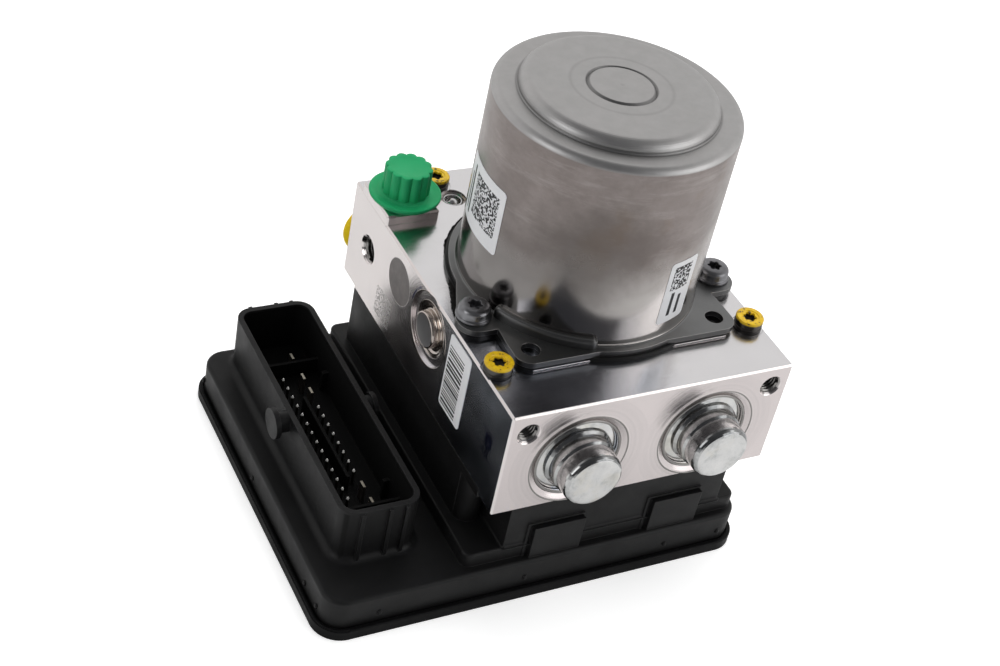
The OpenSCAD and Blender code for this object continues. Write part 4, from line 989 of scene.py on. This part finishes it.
pumpPlugSettings = {
    "face": 47.5, "height": 64.0, "blockTop": 75.6,
    "profile": [
        (0, 1.3), (5.15, 1.3), (5.4, 1.38), (5.7, 1.25), (5.85, 0.95), (5.85, -0.2), (6.0, -0.35),
        (6.05, -1.35), (6.3, -1.6), (6.9, -1.65), (7.2, -1.55), (7.75, -1.2), (7.85, -1.2), (8.9, -0.8),
        (9.05, -0.86), (9.05, -9.2), (5.0, -9.2), (5.0, -9.6), (0, -9.6)],
    "ring": [(11.9, -0.06), (11.95, 0.04), (12.05, 0.07), (12.15, 0.04), (12.2, -0.06)]}


def addPumpPlug(node, side, v):
    spot = (side * v["face"], 0, v["height"])
    bm = bmesh.new()
    spinAll(bm, profile(bm, v["profile"]))
    standAlong(bm, spot, (side, 0, 0))
    piece = addPiece(node + "_turned", bm, "pumpMetal", 32)
    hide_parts(node)
    bm = bmesh.new()
    spinAll(bm, profile(bm, v["ring"], True))
    standAlong(bm, spot, (side, 0, 0))
    # the block's top edge cuts the ring off
    cutAt(bm, (0, 0, v["blockTop"]), (0, 0, 1), True)
    bmesh.ops.holes_fill(bm, edges=bm.edges, sides=12)
    addPiece(node + "_ring", bm, "pumpMetal", 50)


addPumpPlug("pump_plug_left", -1, pumpPlugSettings)
addPumpPlug("pump_plug_right", 1, pumpPlugSettings)
addRings("cap_seat_rings", capRingSettings)


# Small moulded nubs on the base walls, just above the cover

nubSettings = {"radius": 0.75, "stretch": 1.25,
               "front": {"y": -54.8, "z": 7.0, "x": [-78, -30, 20, 40]},
               "left": {"x": -94.6, "z": 6.3, "y": [-46.8, -37.4, 8, 55.4]}}


def addNubs(v):
    bm = bmesh.new()
    front, left = v["front"], v["left"]
    spots = [(x, front["y"], front["z"]) for x in front["x"]]
    spots += [(left["x"], y, left["z"]) for y in left["y"]]
    for spot in spots:
        shift(bm, addBall(bm, v["radius"], (1, 1, v["stretch"]), 16), *spot)
    addPiece("housing_nubs", bm, "blackHousing", 60)


addNubs(nubSettings)
print("pump plugs, cap rings and nubs made")


# Threads in the mounting holes; flank, crest and depth are shares of the pitch

threadForm = {"flank": 0.46, "crest": 0.07, "depth": 0.56, "sink": 0.75, "perTurn": 32}
threadSettings = {
    "front": {"axis": (0, 1, 0), "radius": 3.0, "pitch": 1.0, "turns": 9, "spots": {
        "frontThreadLeft": (-41.2, -54.6, 68.8), "frontThreadRight": (41.2, -54.6, 68.8)}},
    "side": {"axis": (1, 0, 0), "radius": 4.0, "pitch": 1.25, "turns": 7, "spots": {
        "sideThread": (-47.5, 45.9, 59.6)}},
}


def addThread(name, v, spot, form):
    bm = bmesh.new()
    r, p = v["radius"] - 0.01, v["pitch"]
    deep, flank, crest = form["depth"] * p, form["flank"] * p, form["crest"] * p
    tooth = profile(bm, [(r, -flank), (r - deep, -crest), (r - deep, crest), (r, flank)], True)
    steps = form["perTurn"]
    spin(bm, tooth, math.tau * v["turns"], steps * v["turns"], dvec=(0, 0, p * mm / steps))
    bmesh.ops.holes_fill(bm, edges=bm.edges, sides=4)
    shift(bm, bm.verts, 0, 0, form["sink"] + 0.5 * p)
    standAlong(bm, spot, v["axis"])
    addPiece(name, bm, "threadMetal", 30)


for threadValues in threadSettings.values():
    for threadName, threadSpot in threadValues["spots"].items():
        addThread(threadName, threadValues, threadSpot, threadForm)
print("threads made")


# Edge of the brush holder under the motor's flange: fine ribs at the front, a soft black seal at the left

ribSettings = {"radius": 40.3, "back": 39.7, "bottom": 76.02, "top": 77.35, "count": 4, "depth": 0.22,
               "gap": 0.04, "from": -116, "to": -64, "steps": 40}
sealSettings = {
    "path": [(-21.9, 35.0), (-25.7, 32.4), (-29.6, 28.6), (-33.2, 24.4), (-35.2, 20.4), (-37.0, 14.6),
             (-39.4, 8.4), (-41.4, 1.6), (-43.0, -2.5), (-44.2, -6.2), (-45.0, -9.8)],
    "step": 1.5, "height": 76.72, "inward": (0.75, 1.1), "length": (1.5, 2.1), "width": (0.75, 1.05),
    "flat": 0.62, "seed": 7}


def addRibs(v):
    bm = bmesh.new()
    tall = (v["top"] - v["bottom"]) / v["count"]
    inner, outer = v["radius"], v["radius"] + v["depth"]
    points = [(v["back"], v["bottom"])]
    for i in range(v["count"]):
        z = v["bottom"] + i * tall
        points += [(inner, z + v["gap"]), (outer, z + tall * 0.3), (outer, z + tall * 0.7),
                   (inner, z + tall - v["gap"])]
    points.append((v["back"], v["top"]))
    end = profile(bm, points, True)
    turnVerts(bm, vertsOf(end), math.radians(v["from"]))
    spin(bm, end, math.radians(v["to"] - v["from"]), v["steps"])
    bmesh.ops.holes_fill(bm, edges=bm.edges, sides=len(points))
    addPiece("holder_ribs", bm, "brushHolderBlack", 25)


def addSeal(v):
    # soft lumps that run into one another along the path
    random.seed(v["seed"])
    bm = bmesh.new()
    for (x0, y0), (x1, y1) in zip(v["path"], v["path"][1:]):
        along = math.atan2(y1 - y0, x1 - x0)
        count = max(1, round(math.hypot(x1 - x0, y1 - y0) / v["step"]))
        for i in range(count):
            x, y = x0 + (x1 - x0) * i / count, y0 + (y1 - y0) * i / count
            inward = 1 - random.uniform(*v["inward"]) / math.hypot(x, y)
            size = (random.uniform(*v["length"]), random.uniform(*v["width"]), v["flat"])
            lump = addBall(bm, 1.0, size, 18)
            turnVerts(bm, lump, along)
            shift(bm, lump, x * inward, y * inward, v["height"])
    addPiece("holder_seal_bead", bm, "sealBlack", 60)


addRibs(ribSettings)
addSeal(sealSettings)
print("brush holder edge made")


# Labels: blank white foil with plain dark bars and a speckled field. Angles in degrees round the can

labelSettings = {
    "thickness": 0.10, "ink": 0.03, "corner": 1.3, "canRadius": 37.02, "strip": 0.8, "blockFace": -47.5,
    "seed": 21, "barHeights": (0.35, 0.45, 0.7, 0.95), "barGaps": (0.4, 0.5, 0.75),
    "canLarge": {"angle": (157.4, 194.3), "z": (96.5, 118.3), "field": [((168.4, 190.8), (101.2, 115.0))],
                 "bars": [((160.6, 161.8), (99.5, 112.0)), ((163.6, 165.2), (99.0, 115.5))]},
    "canSmall": {"angle": (-80, -62), "z": (84.5, 107), "field": [((-77.2, -65.5), (96.5, 105.2))],
                 "bars": [((-75.0, -73.0), (87.0, 95.5)), ((-70.0, -68.0), (87.0, 94.0))]},
    "blockSide": {"y": (-27.8, -14.0), "z": (47.4, 74.2), "barY": (-24.4, -14.8), "barZ": (48.4, 70.0)},
}


def addPlate(bm, u, w, thick, corner, lift):
    # flat plate over u (along x) and w (along y), corners rounded, its back at height lift
    before = set(bm.verts)
    made = bmesh.ops.create_grid(bm, x_segments=1, y_segments=1, size=0.5)["verts"]
    bmesh.ops.scale(bm, verts=made, vec=((u[1] - u[0]) * mm, (w[1] - w[0]) * mm, 1))
    shift(bm, made, (u[0] + u[1]) / 2, (w[0] + w[1]) / 2, 0)
    if corner:
        bmesh.ops.bevel(bm, geom=made, affect="VERTICES", offset=corner * mm, segments=5, profile=0.5,
                        material=-1)
    faces = list({face for vert in newVerts(bm, before) for face in vert.link_faces})
    grown = bmesh.ops.extrude_face_region(bm, geom=faces, use_keep_orig=True)["geom"]
    shift(bm, vertsOf(grown), 0, 0, thick)
    shift(bm, newVerts(bm, before), 0, 0, lift)


def wrapRound(bm, radius):
    # x becomes the length of arc, z the distance outwards
    for vert in bm.verts:
        arc, up, out = vert.co
        turn, far = arc / (radius * mm), radius * mm + out
        vert.co = (far * math.cos(turn), far * math.sin(turn), up)


def addCanLabel(name, v, s):
    perDegree = math.radians(1) * s["canRadius"]
    for part, finish in (("foil", "labelPaper"), ("bars", "labelBars"), ("field", "labelField")):
        bm = bmesh.new()
        plates, thick, corner, lift = v.get(part), s["ink"], 0, s["thickness"] - 0.01
        if part == "foil":
            plates, thick, corner, lift = [(v["angle"], v["z"])], s["thickness"], s["corner"], 0
        for angles, z in plates:
            addPlate(bm, [a * perDegree for a in angles], z, thick, corner, lift)
        # narrow strips let the flat plate follow the can
        low, high = [a * perDegree for a in v["angle"]]
        x = low + s["strip"]
        while x < high:
            cutAt(bm, (x, 0, 0), (1, 0, 0))
            x += s["strip"]
        wrapRound(bm, s["canRadius"])
        addPiece(name + "_" + part, bm, finish, 40)


def addBlockLabel(name, v, s):
    random.seed(s["seed"])
    for part, finish in (("foil", "labelPaper"), ("bars", "labelBars")):
        bm = bmesh.new()
        if part == "foil":
            addPlate(bm, v["y"], v["z"], s["thickness"], s["corner"], 0.02)
        else:
            z, top = v["barZ"]
            while z < top:
                tall = random.choice(s["barHeights"])
                addPlate(bm, v["barY"], (z, z + tall), s["ink"], 0, s["thickness"] + 0.01)
                z += tall + random.choice(s["barGaps"])
        # x, y of the plate become y, z; its height points out of the left face
        turn = Matrix(((0, 0, -1, s["blockFace"] * mm), (1, 0, 0, 0), (0, 1, 0, 0), (0, 0, 0, 1)))
        bmesh.ops.transform(bm, matrix=turn, verts=bm.verts)
        addPiece(name + "_" + part, bm, finish, 40)


addCanLabel("can_label_large", labelSettings["canLarge"], labelSettings)
addCanLabel("can_label_small", labelSettings["canSmall"], labelSettings)
addBlockLabel("block_label", labelSettings["blockSide"], labelSettings)
print("labels made")
